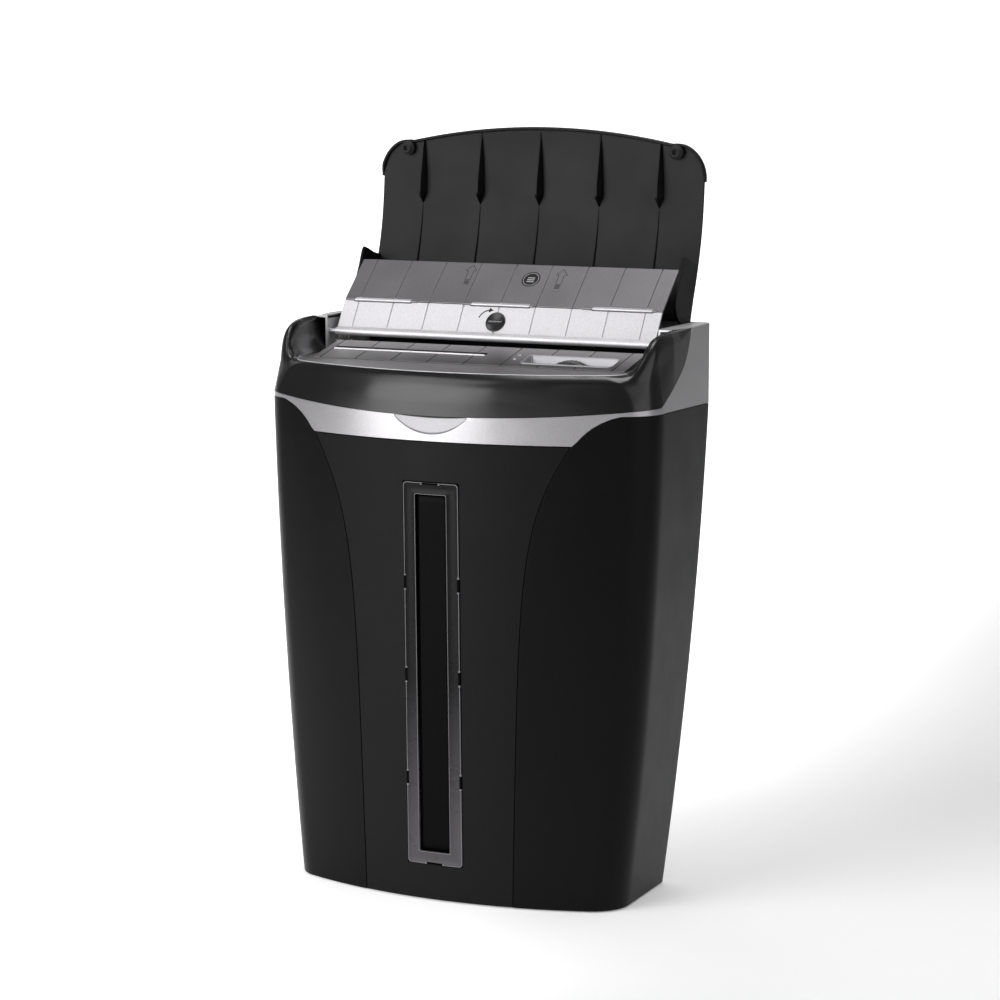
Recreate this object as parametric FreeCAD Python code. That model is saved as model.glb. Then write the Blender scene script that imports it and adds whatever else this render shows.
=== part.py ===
"""Auto-feed paper shredder: waste bin, lift-off cutting head, folding feed plates and paper-rest lid.

Millimetres. +X is the user's right, +Y points to the back, +Z is up. The origin is the middle of the base,
on the floor. Each sub-part is one function that returns a closed shape, and PARTS names them all.
"""
import FreeCAD
import Part
import math
import os

V = FreeCAD.Vector
X_AXIS = V(1, 0, 0)
Y_AXIS = V(0, 1, 0)

# ---- driving dimensions: casing ------------------------------------------------------------------
BOW_R = 378.0            # plan radius of the bowed front
FRONT_CORNER_R = 34.0    # plan radius of the front corners
REAR_CORNER_R = 5.0
WALL = 3.0
BIN_TOP = 421.0          # height of the parting line at the sides and back
BIN_FLOOR_Z = 1.0        # underside of the bin, just above the floor on its pads
PAD_R = 9.0
PAD_PLACES = ((-128, -28), (-128, 52), (128, -28), (128, 52), (0, 0))
HEAD_TOP = 491.0
BAND_DIP = 399.5         # lower edge of the silver band at the front
BAND_CORNER_X = 123.3
PARTING_GAP = 0.4
FASCIA_Z = 421.0         # lower edge of the black fascia at the middle
FASCIA_RISE = 10.0       # how much higher that edge is at the sides
DECK_FRONT_Y = -70.0
DECK_FRONT_Z = 457.5
DECK_REAR_Y = 30.0
DECK_SLOPE = 0.024
DECK_HALF = 159.5
DECK_T = 2.5
WING_TOP = ((-38, 457.5), (-26, 475.5), (-15, 483), (0, 488), (16, 490), (33.2, 490.6))  # points in y, z
CHEEK_Y = 33.5           # front of the silver cheeks beside the plates
CHEEK_X = 160.0          # inner face of the cheek liners

# ---- driving dimensions: window ------------------------------------------------------------------
WINDOW_HALF = 26.0
WINDOW_LOW = 32.4
WINDOW_HIGH = 364.6
PANE_HALF = 14.5
PANE_LOW = 43.6
PANE_HIGH = 354.2

# ---- driving dimensions: control inlay and manual slot --------------------------------------------
INLAY_Y = (-16.5, 28.5)
INLAY_X = (-146.0, 151.0)
INLAY_Z = (461.5, 470.5)
SLOT_X = (-138.0, 10.0)
SLOT_Y = (6.5, 12.5)
WELL_X = (50.0, 136.0)
WELL_Y = (-10.0, 12.0)
WELL_DEPTH = 5.0
SLIDER_TRAVEL = 14.0     # each way from the middle position
SLIDER_LEN = 28.0
LED_X = 41.0
LED_Y = (0.0, 10.0)

# ---- driving dimensions: feed plates, knob and lid ------------------------------------------------
ROD_Y, ROD_Z = 38.8, 476.9
LOWER_ANGLE = 58.6       # lower plate above the horizontal at rest
LOWER_LEN = 31.9
UPPER_ANGLE = 43.0
UPPER_LEN = 48.8
PLATE_HALF = 154.0
PLATE_T = 1.6
ROD_R = 2.45
ROD_BORE_R = 2.50
BARREL_R = 3.4
KNUCKLE_R = 2.0
KNUCKLE_GAP = 2.6        # from the joint axis to the plates' edges beside the hinge tabs
SEAM_GAP = 0.4           # from the joint axis to the plates' edges elsewhere
PIN_R = 1.0
PIN_BORE_R = 1.06
KNUCKLE_CENTRES = (-116.0, -2.0, 114.0)
KNUCKLE_LEN = 58.0
GROOVE_PITCH = 34.8
KNOB_R = 9.3
KNOB_BAR_HALF = 7.2
KNOB_UP = 15.5           # knob centre above the rod, along the lower plate
LID_Y, LID_Z = 106.0, 486.0   # pivot of the paper rest
LID_HALF = 157.5
LID_T = 2.5
LID_TOP = 657.0
LID_PIN_R = 3.0
RIB_X = (-116.4, -58.5, 0.0, 58.5, 116.4)

# ---- driving dimensions: cutting gear --------------------------------------------------------------
CUT_Z = 425.0
CUT_FRONT_Y = -9.5
CUT_REAR_Y = 28.5
CUT_R = 20.0
CORE_R = 17.6
SHAFT_R = 7.0
DISC_T = 3.6
DISC_PITCH = 8.0
DISC_COUNT = 37
FRAME_X = 152.0
FRAME_T = 3.0
FRAME_LOW, FRAME_HIGH = 385.0, 458.0
BASE_Z = 378.0
BASE_T = 2.5
SCREW_PLACES = ((-140, -45), (-140, 92), (140, -45), (140, 92), (-60, 92), (10, 98))
SCREW_R = 1.8
GEAR_MODULE = 2.0
GEAR_X = 158.3
GEAR_WIDTH = 4.7
WHEEL_X = 163.5
WHEEL_WIDTH = 3.5
GEAR_TEETH = 19
REDUCTION_TEETH = 10
WHEEL_MODULE = 1.5
WHEEL_TEETH = 36
PINION_TEETH = 10
REDUCTION_ANGLE = 25.0
MOTOR_ANGLE = -60.0
MOTOR_R = 20.0
ROLLER_Y, ROLLER_Z = 62.0, 450.0
ROLLER_R = 14.0
ROLLER_TEETH = 22
ROLLER_MODULE = 1.9
TRAY_Z = 460.0


def box(x, y, z):
    """A box from three (low, high) pairs."""
    return Part.makeBox(x[1] - x[0], y[1] - y[0], z[1] - z[0], V(x[0], y[0], z[0]))


def rod_x(radius, x0, x1, y, z):
    return Part.makeCylinder(radius, x1 - x0, V(x0, y, z), X_AXIS)


def fuse_all(shapes):
    return shapes[0].multiFuse(shapes[1:]).removeSplitter() if len(shapes) > 1 else shapes[0]


def prism(points, direction):
    """A straight prism from a closed polygon of vectors."""
    wire = Part.makePolygon(points + [points[0]])
    return Part.Face(wire).extrude(direction)


def prism_yz(points, x0, x1):
    return prism([V(x0, y, z) for y, z in points], V(x1 - x0, 0, 0))


def prism_xz(points, y0, y1):
    return prism([V(x, y0, z) for x, z in points], V(0, y1 - y0, 0))


def spline(points):
    curve = Part.BSplineCurve()
    curve.interpolate(points)
    return curve.toShape()


def closed_prism(edges, direction):
    return Part.Face(Part.Wire(Part.__sortEdges__(edges))).extrude(direction)


# ---- casing form -------------------------------------------------------------------------------------
def casing_size(z):
    """Half-width near the front, half-width at the back, front y and back y at a height."""
    u = min(z, BIN_TOP) / BIN_TOP
    over = max(z - BIN_TOP, 0.0) / (HEAD_TOP - BIN_TOP)
    front_half = 156.0 + 46.8 * u - 18.8 * u * u - 2.0 * over
    rear_half = 152.5 + 31.6 * u - 10.1 * u * u - 1.5 * over
    front_y = -71.0 - 9.0 * u - 1.0 * over
    rear_y = 72.0 + 66.1 * u - 22.1 * u * u + 4.0 * over
    return front_half, rear_half, front_y, rear_y


def outline(front_half, rear_half, front_y, rear_y, z, inset, corner=FRONT_CORNER_R, rear=REAR_CORNER_R):
    """Plan outline: bowed front, round front corners, straight sides, flat back, inset evenly."""
    bow = BOW_R - inset
    corner = max(corner - inset, 2.0)
    rear = max(rear - inset, 1.0)
    bow_centre = V(0, front_y + BOW_R, z)
    side_a = V(front_half, -10.0, z)
    side_b = V(rear_half, rear_y, z)
    along = (side_b - side_a).normalize()
    inward = V(-along.y, along.x, 0)
    if inward.x > 0:
        inward = inward * -1
    start = side_a + inward * (inset + corner)
    gap = start - bow_centre
    half_b = gap.dot(along)
    root = math.sqrt(half_b * half_b - gap.dot(gap) + (bow - corner) ** 2)
    centre = start + along * (-half_b - root)
    touch_front = centre + (centre - bow_centre).normalize() * corner
    touch_side = centre - inward * corner
    middle = ((touch_front - centre) + (touch_side - centre)).normalize() * corner + centre
    back_y = rear_y - inset
    line_point = side_a + inward * inset
    reach = (back_y - rear - line_point.y) / along.y
    rear_start = line_point + along * reach
    rear_end = V(rear_start.x - rear, back_y, z)
    rear_mid = V(rear_start.x - rear * (1 - math.sqrt(0.5)), back_y - rear * (1 - math.sqrt(0.5)), z)
    front_mid = V(0, front_y + inset, z)

    def left(point):
        return V(-point.x, point.y, point.z)

    edges = [
        Part.Arc(left(touch_front), front_mid, touch_front).toShape(),
        Part.Arc(touch_front, middle, touch_side).toShape(),
        Part.LineSegment(touch_side, rear_start).toShape(),
        Part.Arc(rear_start, rear_mid, rear_end).toShape(),
        Part.LineSegment(rear_end, left(rear_end)).toShape(),
        Part.Arc(left(rear_end), left(rear_mid), left(rear_start)).toShape(),
        Part.LineSegment(left(rear_start), left(touch_side)).toShape(),
        Part.Arc(left(touch_side), left(middle), left(touch_front)).toShape(),
    ]
    return Part.Wire(edges)


def casing(inset, low, high, steps=4):
    """The whole outer form between two heights, pulled in evenly by the inset."""
    heights = [low + (high - low) * i / steps for i in range(steps + 1)]
    wires = [outline(*casing_size(z), z, inset) for z in heights]
    return Part.makeLoft(wires, True, False)


def below_band(gap):
    """Everything under the parting line: level at the sides and back, dipping across the front."""
    low = -20.0
    right = Part.Arc(V(BAND_CORNER_X, -150, BAND_DIP), V(137.3, -150, 411.4), V(161, -150, BIN_TOP)).toShape()
    left = Part.Arc(V(-161, -150, BIN_TOP), V(-137.3, -150, 411.4),
                    V(-BAND_CORNER_X, -150, BAND_DIP)).toShape()
    path = [(-161, BIN_TOP), (-220, BIN_TOP), (-220, low), (220, low), (220, BIN_TOP), (161, BIN_TOP)]
    points = [V(x, -150, z) for x, z in path]
    lines = [Part.LineSegment(a, b).toShape() for a, b in zip(points, points[1:])]
    middle = Part.LineSegment(V(-BAND_CORNER_X, -150, BAND_DIP), V(BAND_CORNER_X, -150, BAND_DIP)).toShape()
    front = closed_prism(lines + [right, middle, left], V(0, 150, 0))
    rear = box((-220, 220), (-0.01, 160), (low, BIN_TOP))
    region = front.fuse(rear)
    region.translate(V(0, 0, gap))
    return region


def fascia_region(gap):
    """Above the silver band at the front, and ahead of the curve that sweeps up each side."""
    top = 520.0
    arc = Part.Arc(V(-190, -150, FASCIA_Z + FASCIA_RISE), V(0, -150, FASCIA_Z),
                   V(190, -150, FASCIA_Z + FASCIA_RISE)).toShape()
    corners = [V(190, -150, FASCIA_Z + FASCIA_RISE), V(190, -150, top), V(-190, -150, top),
               V(-190, -150, FASCIA_Z + FASCIA_RISE)]
    lines = [Part.LineSegment(a, b).toShape() for a, b in zip(corners, corners[1:])]
    above = closed_prism([arc] + lines, V(0, 300, 0))
    sweep = spline([V(-200, y, z) for y, z in ((-24, 427), (2, 437), (37, 454), (58, 473.5), (71, 500))])
    corners = [V(-200, 71, 500), V(-200, 71, top), V(-200, -160, top), V(-200, -160, 400), V(-200, -24, 400),
               V(-200, -24, 427)]
    lines = [Part.LineSegment(a, b).toShape() for a, b in zip(corners, corners[1:])]
    ahead = closed_prism([sweep] + lines, V(400, 0, 0))
    region = above.common(ahead)
    region.translate(V(0, -gap * 0.5, gap))
    return region


def deck_height(y):
    return DECK_FRONT_Z + DECK_SLOPE * (y - DECK_FRONT_Y)


def deck_plan(low, high, inset=0.0, rear_y=DECK_REAR_Y):
    wire = outline(DECK_HALF, DECK_HALF, DECK_FRONT_Y, rear_y, low, inset, 30.0, 2.0)
    return Part.Face(wire).extrude(V(0, 0, high - low))


# ---- bin -----------------------------------------------------------------------------------------------
def panel_outline(grow):
    """The centre panel of the front: wide under the band, narrowing down to the base."""
    half = [(BAND_CORNER_X, BAND_DIP + 4), (102.0, 364.0), (88.0, 320.0), (79.5, 255.0), (74.5, 150.0),
            (70.5, 0.0)]
    right = spline([V(x + grow, -150, z) for x, z in half])
    left = spline([V(-x - grow, -150, z) for x, z in half])
    top_half, top_z = half[0][0] + grow, half[0][1]
    low_half = half[-1][0] + grow
    top = Part.LineSegment(V(-top_half, -150, top_z), V(top_half, -150, top_z)).toShape()
    low = Part.LineSegment(V(-low_half, -150, 0), V(low_half, -150, 0)).toShape()
    return closed_prism([top, right, low, left], V(0, 150, 0))


def window_prism(half, low, high, radius):
    wire_box = box((-half, half), (-150, 0), (low, high))
    edges = [e for e in wire_box.Edges if abs(e.Vertexes[0].Y - e.Vertexes[-1].Y) > 1]
    return wire_box.makeFillet(radius, edges)


def front_panel():
    skin = casing(0, BIN_FLOOR_Z, BIN_TOP).cut(casing(1.4, -2, BIN_TOP + 5))
    panel = skin.common(panel_outline(0)).common(below_band(0))
    panel = panel.common(box((-200, 200), (-150, 0), (BIN_FLOOR_Z + 4, BIN_TOP)))
    return panel.cut(window_prism(WINDOW_HALF + 0.3, WINDOW_LOW - 0.3, WINDOW_HIGH + 0.3, 3.0))


def bin_shell():
    outer = casing(0, BIN_FLOOR_Z, BIN_TOP).common(below_band(0))
    inner = casing(WALL, BIN_FLOOR_Z + WALL, BIN_TOP + 5)
    shell = outer.cut(inner)
    recess = casing(-2, -2, BIN_TOP + 5).cut(casing(1.5, -2, BIN_TOP + 6)).common(panel_outline(0.35))
    recess = recess.common(box((-200, 200), (-150, 0), (BIN_FLOOR_Z + 3.7, BIN_TOP + 5)))
    shell = shell.cut(recess)
    return shell.cut(window_prism(WINDOW_HALF - 3, WINDOW_LOW + 3, WINDOW_HIGH - 3, 2.0))


def bin_feet():
    """Four corner pads and one under the middle."""
    return Part.Compound([Part.makeCylinder(PAD_R, BIN_FLOOR_Z, V(x, y, 0)) for x, y in PAD_PLACES])


def window_frame():
    skin = casing(-0.8, BIN_FLOOR_Z, BIN_TOP).cut(casing(1.4, -2, BIN_TOP + 5))
    frame = skin.common(window_prism(WINDOW_HALF, WINDOW_LOW, WINDOW_HIGH, 3.0))
    frame = frame.cut(window_prism(PANE_HALF, PANE_LOW, PANE_HIGH, 1.5))
    notches = [box((sx * WINDOW_HALF - 1.6, sx * WINDOW_HALF + 1.6), (-100, -60), (z - 2.5, z + 2.5))
               for sx in (-1, 1) for z in (115, 202, 278)]
    return frame.cut(Part.Compound(notches))


def window_pane():
    skin = casing(1.5, BIN_FLOOR_Z, BIN_TOP).cut(casing(WALL, -2, BIN_TOP + 5))
    return skin.common(window_prism(WINDOW_HALF - 3.2, WINDOW_LOW + 3.2, WINDOW_HIGH - 3.2, 1.8))


def interlock_striker():
    post = box((-127, -113), (-75, -33), (350, 373.6))
    ramp = prism_yz([(-75, 349), (-33, 349), (-33, 362), (-60, 349)], -128, -112)
    return post.cut(ramp).common(casing(WALL, 300, 400))


# ---- head casing ---------------------------------------------------------------------------------------
def head_skin(thick_in=WALL):
    return casing(0, BAND_DIP - 8, HEAD_TOP, 5).cut(casing(thick_in, BAND_DIP - 12, HEAD_TOP + 4, 5))


def head_housing():
    """Silver ring: the band across the front, the sides, the back, the cheek tops and the back ledge."""
    ring = head_skin().cut(below_band(PARTING_GAP)).cut(fascia_region(0))
    slab = casing(WALL - 1.0, HEAD_TOP - 20, HEAD_TOP, 2)
    slab = slab.common(box((-200, 200), (CHEEK_Y, 200), (HEAD_TOP - 2.5, HEAD_TOP)))
    fascia_room = fascia_region(0).cut(casing(WALL + 0.2, HEAD_TOP - 30, HEAD_TOP + 10, 2))
    slab = slab.cut(fascia_room)
    well = box((-CHEEK_X - 2.5, CHEEK_X + 2.5), (CHEEK_Y - 1, 112.5), (480, 500))
    gland_hole = Part.makeCylinder(9, 40, V(-110, 90, 440), Y_AXIS)
    housing = ring.fuse(slab.cut(well))
    scoop = Part.makeCylinder(47, 90, V(0, -110, FASCIA_Z + 31.5), Y_AXIS)
    scoop = scoop.common(casing(-1, BAND_DIP - 5, BIN_TOP + 10).cut(casing(1.8, BAND_DIP - 8, BIN_TOP + 14)))
    return housing.cut(scoop).cut(gland_hole)


def front_fascia():
    """Black fascia with its rolled top rim and the two rising wings beside the deck."""
    region = fascia_region(0.3)
    top_line = spline([V(-200, y, z) for y, z in WING_TOP])
    (start_y, start_z), (end_y, end_z) = WING_TOP[0], WING_TOP[-1]
    corners = [V(-200, end_y, end_z), V(-200, 90, end_z), V(-200, 90, 400), V(-200, -150, 400),
               V(-200, -150, start_z), V(-200, start_y, start_z)]
    lines = [Part.LineSegment(a, b).toShape() for a, b in zip(corners, corners[1:])]
    under = closed_prism([top_line] + lines, V(400, 0, 0))
    skin = head_skin().common(region).common(under)
    rim = casing(WALL - 1.0, 440, 470, 2).common(box((-200, 200), (-110, CHEEK_Y - 0.3), (455.2, 457.5)))
    rim = rim.cut(deck_plan(440, 470, -0.2, CHEEK_Y + 5))
    wedges = []
    for side in (-1, 1):
        facet = [(side * (DECK_HALF + 0.4), 455.2), (side * (DECK_HALF + 0.4), 459.5), (side * 173.5, 491),
                 (side * 190, 491), (side * 190, 455.2)]
        wedge = prism_xz(facet, -45, CHEEK_Y - 0.3)
        wedges.append(wedge.common(casing(WALL - 1.0, 440, HEAD_TOP, 2)).common(under).common(region))
    body = skin.fuse([rim] + wedges)
    nose = []
    for cut, z in ((2.0, 451.0), (5.0, 455.0)):
        band = casing(0, 440, 470, 2).cut(casing(cut, 439, 471, 2))
        nose.append(band.common(box((-200, 200), (-110, -24), (z, 470))))
    wheel_room = rod_x(29.5, GEAR_X, WHEEL_X + WHEEL_WIDTH + 1.0, *reduction_axis())
    return body.cut(fuse_all(nose)).cut(wheel_room)


def control_deck():
    raw = deck_plan(440, 475, 0.3)
    ahead, behind = DECK_FRONT_Y - 5, 60
    top = prism_yz([(ahead, deck_height(ahead)), (behind, deck_height(behind)),
                    (behind, deck_height(behind) - DECK_T), (ahead, deck_height(ahead) - DECK_T)], -200, 200)
    deck = raw.common(top)
    slot = box((SLOT_X[0] - 3, SLOT_X[1] + 3), (SLOT_Y[0] - 3, SLOT_Y[1] + 3), (440, 480))
    well = box((WELL_X[0] - 1.5, WELL_X[1] + 1.5), (WELL_Y[0] - 1.5, WELL_Y[1] + 1.5), (440, 480))
    return deck.cut(slot).cut(well)


def inlay_height(y):
    return INLAY_Z[0] + (INLAY_Z[1] - INLAY_Z[0]) * (y - INLAY_Y[0]) / (INLAY_Y[1] - INLAY_Y[0])


def slot_inlay():
    """Sloped control panel on the deck, with the manual feed slot, the switch well and depth-wise grooves."""
    y0, y1 = INLAY_Y
    profile = [(y0, deck_height(y0)), (y1, deck_height(y1)), (y1, inlay_height(y1)), (y0, inlay_height(y0))]
    body = prism_yz(profile, *INLAY_X)
    hollow = [(y0 + 2.5, deck_height(y0) - 1), (y1 - 2.5, deck_height(y1) - 1),
              (y1 - 2.5, inlay_height(y1 - 2.5) - 2.5), (y0 + 2.5, inlay_height(y0 + 2.5) - 2.5)]
    body = body.cut(prism_yz(hollow, INLAY_X[0] + 2.5, INLAY_X[1] - 2.5))
    foot = deck_height(SLOT_Y[0]) + 0.02
    wall = box((SLOT_X[0] - 2, SLOT_X[1] + 2), (SLOT_Y[0] - 2, SLOT_Y[1] + 2), (foot, 470))
    below = prism_yz([(y0, 440), (y1, 440), (y1, inlay_height(y1) - 1), (y0, inlay_height(y0) - 1)],
                     -200, 200)
    body = body.fuse(wall.common(below))
    body = body.cut(box(SLOT_X, SLOT_Y, (440, 480)))
    well = box((WELL_X[0] - 0.1, WELL_X[1] + 0.1), (WELL_Y[0] - 0.1, WELL_Y[1] + 0.1), (440, 480))
    body = body.cut(well)
    lamps = [Part.makeCylinder(1.6, 30, V(LED_X, y, 450)) for y in LED_Y]
    grooves = [box((GROOVE_PITCH * i - 0.3, GROOVE_PITCH * i + 0.3), (y0, y1), (0, 1)) for i in range(-3, 4)]
    tilt = math.degrees(math.atan2(INLAY_Z[1] - INLAY_Z[0], y1 - y0))
    for groove in grooves:
        groove.translate(V(0, 0, INLAY_Z[0] - 0.4))
        groove.rotate(V(0, y0, INLAY_Z[0]), X_AXIS, tilt)
    return body.cut(Part.Compound(lamps)).cut(Part.Compound(grooves))


def switch_well():
    """Silver tray that the mode slider runs in."""
    floor_z = inlay_height(WELL_Y[0]) - WELL_DEPTH
    tray = box(WELL_X, WELL_Y, (floor_z - 1.5, 480))
    cap = prism_yz([(-40, 440), (40, 440), (40, inlay_height(40) + 0.3), (-40, inlay_height(-40) + 0.3)],
                   0, 200)
    tray = tray.common(cap)
    wall = 1.2
    tray = tray.cut(box((WELL_X[0] + wall, WELL_X[1] - wall), (WELL_Y[0] + wall, WELL_Y[1] - wall),
                        (floor_z, 480)))
    middle = sum(WELL_X) / 2 - 1
    reach = SLIDER_TRAVEL + 8
    return tray.cut(box((middle - reach, middle + reach), (-0.5, 3.5), (floor_z - 5, floor_z + 5)))


def mode_slider():
    """Grip with finger ridges on a stem that goes through the tray's slit."""
    floor_z = inlay_height(WELL_Y[0]) - WELL_DEPTH
    middle = sum(WELL_X) / 2 - 1
    half = SLIDER_LEN / 2
    hump = Part.Arc(V(middle - half, -5, floor_z + 2.5), V(middle, -5, floor_z + 8.5),
                    V(middle + half, -5, floor_z + 2.5))
    path = [V(middle + half, -5, floor_z + 2.5), V(middle + half, -5, floor_z + 0.3),
            V(middle - half, -5, floor_z + 0.3), V(middle - half, -5, floor_z + 2.5)]
    lines = [Part.LineSegment(a, b).toShape() for a, b in zip(path, path[1:])]
    grip = closed_prism([hump.toShape()] + lines, V(0, 13, 0))
    stem = box((middle - 5, middle + 5), (0.2, 2.8), (floor_z - 5, floor_z + 1))
    foot = box((middle - 8, middle + 8), (-3, 4.2), (floor_z - 6.5, floor_z - 4.5))
    ridges = [box((middle + dx - 0.5, middle + dx + 0.5), (-6, 9), (floor_z + 6.5, floor_z + 10))
              for dx in (-4, 0, 4)]
    return fuse_all([grip, stem, foot]).cut(Part.Compound(ridges))


def status_leds():
    lamps = [Part.makeCylinder(1.5, inlay_height(y) + 0.3 - 461.0, V(LED_X, y, 461.0)) for y in LED_Y]
    return Part.Compound(lamps)


def cheek_liner(side):
    """Silver inner wall beside the plates, with the bores for the plate rod and the lid pivot."""
    inner, outer = side * CHEEK_X, side * (CHEEK_X + 2.5)
    wall = box((min(inner, outer), max(inner, outer)), (CHEEK_Y, 112.5), (459.5, HEAD_TOP))
    x0 = min(inner, outer) - 1
    rod_hole = rod_x(ROD_R, x0, x0 + 5, ROD_Y, ROD_Z)
    boss = rod_x(4.8, min(outer, side * 168), max(outer, side * 168), LID_Y, LID_Z)
    boss = boss.common(box((-180, 180), (90, 112.5), (465, HEAD_TOP - 2.6)))
    pin_hole = rod_x(LID_PIN_R + 0.06, min(side * 159, side * 168), max(side * 159, side * 168), LID_Y, LID_Z)
    gear_room = rod_x(25, -170, -150, ROLLER_Y, ROLLER_Z)
    return wall.fuse(boss).cut(rod_hole).cut(pin_hole).cut(gear_room)


def cheek_liner_left():
    return cheek_liner(-1)


def cheek_liner_right():
    return cheek_liner(1)


def head_base():
    """Tray under the head: it drops into the mouth of the bin and carries the cutting gear."""
    outer = casing(5.0, BASE_Z, 424.0, 3)
    inner = casing(7.5, BASE_Z + BASE_T, 430.0, 3)
    tray = outer.cut(inner)
    flange = casing(WALL + 0.4, 421.6, 424.0, 2).cut(casing(7.0, 420.0, 426.0, 2))
    exit_slot = box((-148, 148), (-20, 38), (BASE_Z - 5, BASE_Z + 5))
    plunger_hole = Part.makeCylinder(3.2, 20, V(-120, -40, BASE_Z - 5))
    front = box((-200, 200), (-150, -40), (BAND_DIP + 20, 430))
    return tray.fuse(flange.cut(front)).cut(exit_slot).cut(plunger_hole)


def base_screws():
    screws = []
    for x, y in SCREW_PLACES:
        head = Part.makeCylinder(3.6, 1.8, V(x, y, BASE_Z - 1.8))
        screws.append(head.fuse(Part.makeCylinder(SCREW_R, BASE_T + 4, V(x, y, BASE_Z))))
    return Part.Compound(screws)


def base_with_bosses():
    """The tray with its screw holes opened."""
    holes = [Part.makeCylinder(SCREW_R, 20, V(x, y, BASE_Z - 5)) for x, y in SCREW_PLACES]
    return head_base().cut(Part.Compound(holes))


# ---- cutting gear --------------------------------------------------------------------------------------
def cutter(y, offset, x_left, x_right):
    """One cutting shaft, turned from a single bar: discs, the grooves between them, and the journals."""
    disc_half = DISC_T / 2
    points = [(x_left, 0), (x_left, SHAFT_R), (-150.5, SHAFT_R), (-150.5, CORE_R)]
    first = -DISC_PITCH * (DISC_COUNT - 1) / 2 + offset
    for i in range(DISC_COUNT):
        x = first + DISC_PITCH * i
        if abs(x) > 147:
            continue
        points += [(x - disc_half, CORE_R), (x - disc_half, CUT_R)]
        points += [(x + disc_half, CUT_R), (x + disc_half, CORE_R)]
    points += [(150.5, CORE_R), (150.5, SHAFT_R), (x_right, SHAFT_R), (x_right, 0)]
    wire = Part.makePolygon([V(x, r, 0) for x, r in points] + [V(*points[0], 0)])
    shaft = Part.Face(wire).revolve(V(0, 0, 0), X_AXIS, 360)
    flutes = []
    for i in range(6):
        corners = [V(-149, CORE_R + 0.2, -1.6), V(-149, CUT_R + 1, -3.0), V(-149, CUT_R + 1, 1.2)]
        flute = prism(corners, V(298, 0, 0))
        flute.rotate(V(0, 0, 0), X_AXIS, 60 * i + (30 if offset else 0))
        flutes.append(flute)
    shaft = shaft.cut(Part.Compound(flutes))
    shaft.translate(V(0, y, CUT_Z))
    return shaft


def cutter_front():
    return cutter(CUT_FRONT_Y, 0.0, -157.5, 163.2)


def cutter_rear():
    return cutter(CUT_REAR_Y, DISC_PITCH / 2, -163.5, 163.2)


def comb(y, side, offset):
    """Stripper bar whose fingers reach into the grooves of one shaft."""
    bar = box((-150, 150), (y + side * 25 - 2, y + side * 25 + 2), (CUT_Z - 6, CUT_Z + 6))
    fingers = [bar]
    first = -DISC_PITCH * (DISC_COUNT - 1) / 2 + offset
    for i in range(DISC_COUNT - 1):
        x = first + DISC_PITCH * (i + 0.5)
        if abs(x) > 146:
            continue
        near, far = sorted((y + side * (CORE_R + 0.7), y + side * 24))
        fingers.append(box((x - 1.6, x + 1.6), (near, far), (CUT_Z - 3, CUT_Z + 3)))
    return fuse_all(fingers)


def comb_front():
    return comb(CUT_FRONT_Y, -1, 0.0)


def comb_rear():
    return comb(CUT_REAR_Y, 1, DISC_PITCH / 2)


def gear(module, teeth, width, bore, x, y, z, phase_deg):
    """Spur gear across X, with plain-sided teeth a little slimmer than half the pitch."""
    pitch_r = module * teeth / 2
    tip_r = pitch_r + module * 0.85
    root_r = pitch_r - module * 1.1
    step = 360.0 / teeth
    points = []
    for i in range(teeth):
        centre = phase_deg + i * step
        for radius, share in ((root_r, -0.30), (tip_r, -0.11), (tip_r, 0.11), (root_r, 0.30)):
            angle = math.radians(centre + share * step)
            points.append(V(0, radius * math.cos(angle), radius * math.sin(angle)))
    body = prism(points, V(width, 0, 0))
    body = body.cut(rod_x(bore, -1, width + 1, 0, 0))
    body.translate(V(x, y, z))
    return body


def reduction_axis():
    reach = GEAR_MODULE * (GEAR_TEETH + REDUCTION_TEETH) / 2
    angle = math.radians(REDUCTION_ANGLE)
    return CUT_REAR_Y + reach * math.cos(angle), CUT_Z + reach * math.sin(angle)


def motor_axis():
    y, z = reduction_axis()
    reach = WHEEL_MODULE * (WHEEL_TEETH + PINION_TEETH) / 2
    angle = math.radians(MOTOR_ANGLE)
    return y + reach * math.cos(angle), z + reach * math.sin(angle)


def gear_front():
    return gear(GEAR_MODULE, GEAR_TEETH, GEAR_WIDTH, SHAFT_R, GEAR_X, CUT_FRONT_Y, CUT_Z, 0)


def gear_rear():
    return gear(GEAR_MODULE, GEAR_TEETH, GEAR_WIDTH, SHAFT_R, GEAR_X, CUT_REAR_Y, CUT_Z, 0)


def rear_tooth_phase():
    """How far the rear gear's nearest tooth is from the line to the reduction gear, in its tooth steps."""
    step = 360.0 / GEAR_TEETH
    return (REDUCTION_ANGLE % step) / step


def reduction_gear():
    """Compound gear: a small pinion on the cutters' side, a large wheel on the motor's side."""
    y, z = reduction_axis()
    step = 360.0 / REDUCTION_TEETH
    phase = REDUCTION_ANGLE + 180 + (0.5 + rear_tooth_phase()) * step
    small = gear(GEAR_MODULE, REDUCTION_TEETH, WHEEL_X - GEAR_X, 4.05, GEAR_X, y, z, phase)
    large = gear(WHEEL_MODULE, WHEEL_TEETH, WHEEL_WIDTH, 4.05, WHEEL_X, y, z, MOTOR_ANGLE)
    return small.fuse(large)


def motor_pinion():
    y, z = motor_axis()
    step = 360.0 / PINION_TEETH
    return gear(WHEEL_MODULE, PINION_TEETH, WHEEL_WIDTH, 3.0, WHEEL_X, y, z, MOTOR_ANGLE + 180 + 0.5 * step)


def motor_shaft():
    y, z = motor_axis()
    return rod_x(3.0, 24, WHEEL_X + WHEEL_WIDTH, y, z)


def motor_body():
    y, z = motor_axis()
    can = rod_x(MOTOR_R, 30, 138, y, z)
    nose = rod_x(9, 138, FRAME_X, y, z)
    return can.fuse(nose).cut(rod_x(3.06, 20, 160, y, z))


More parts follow.
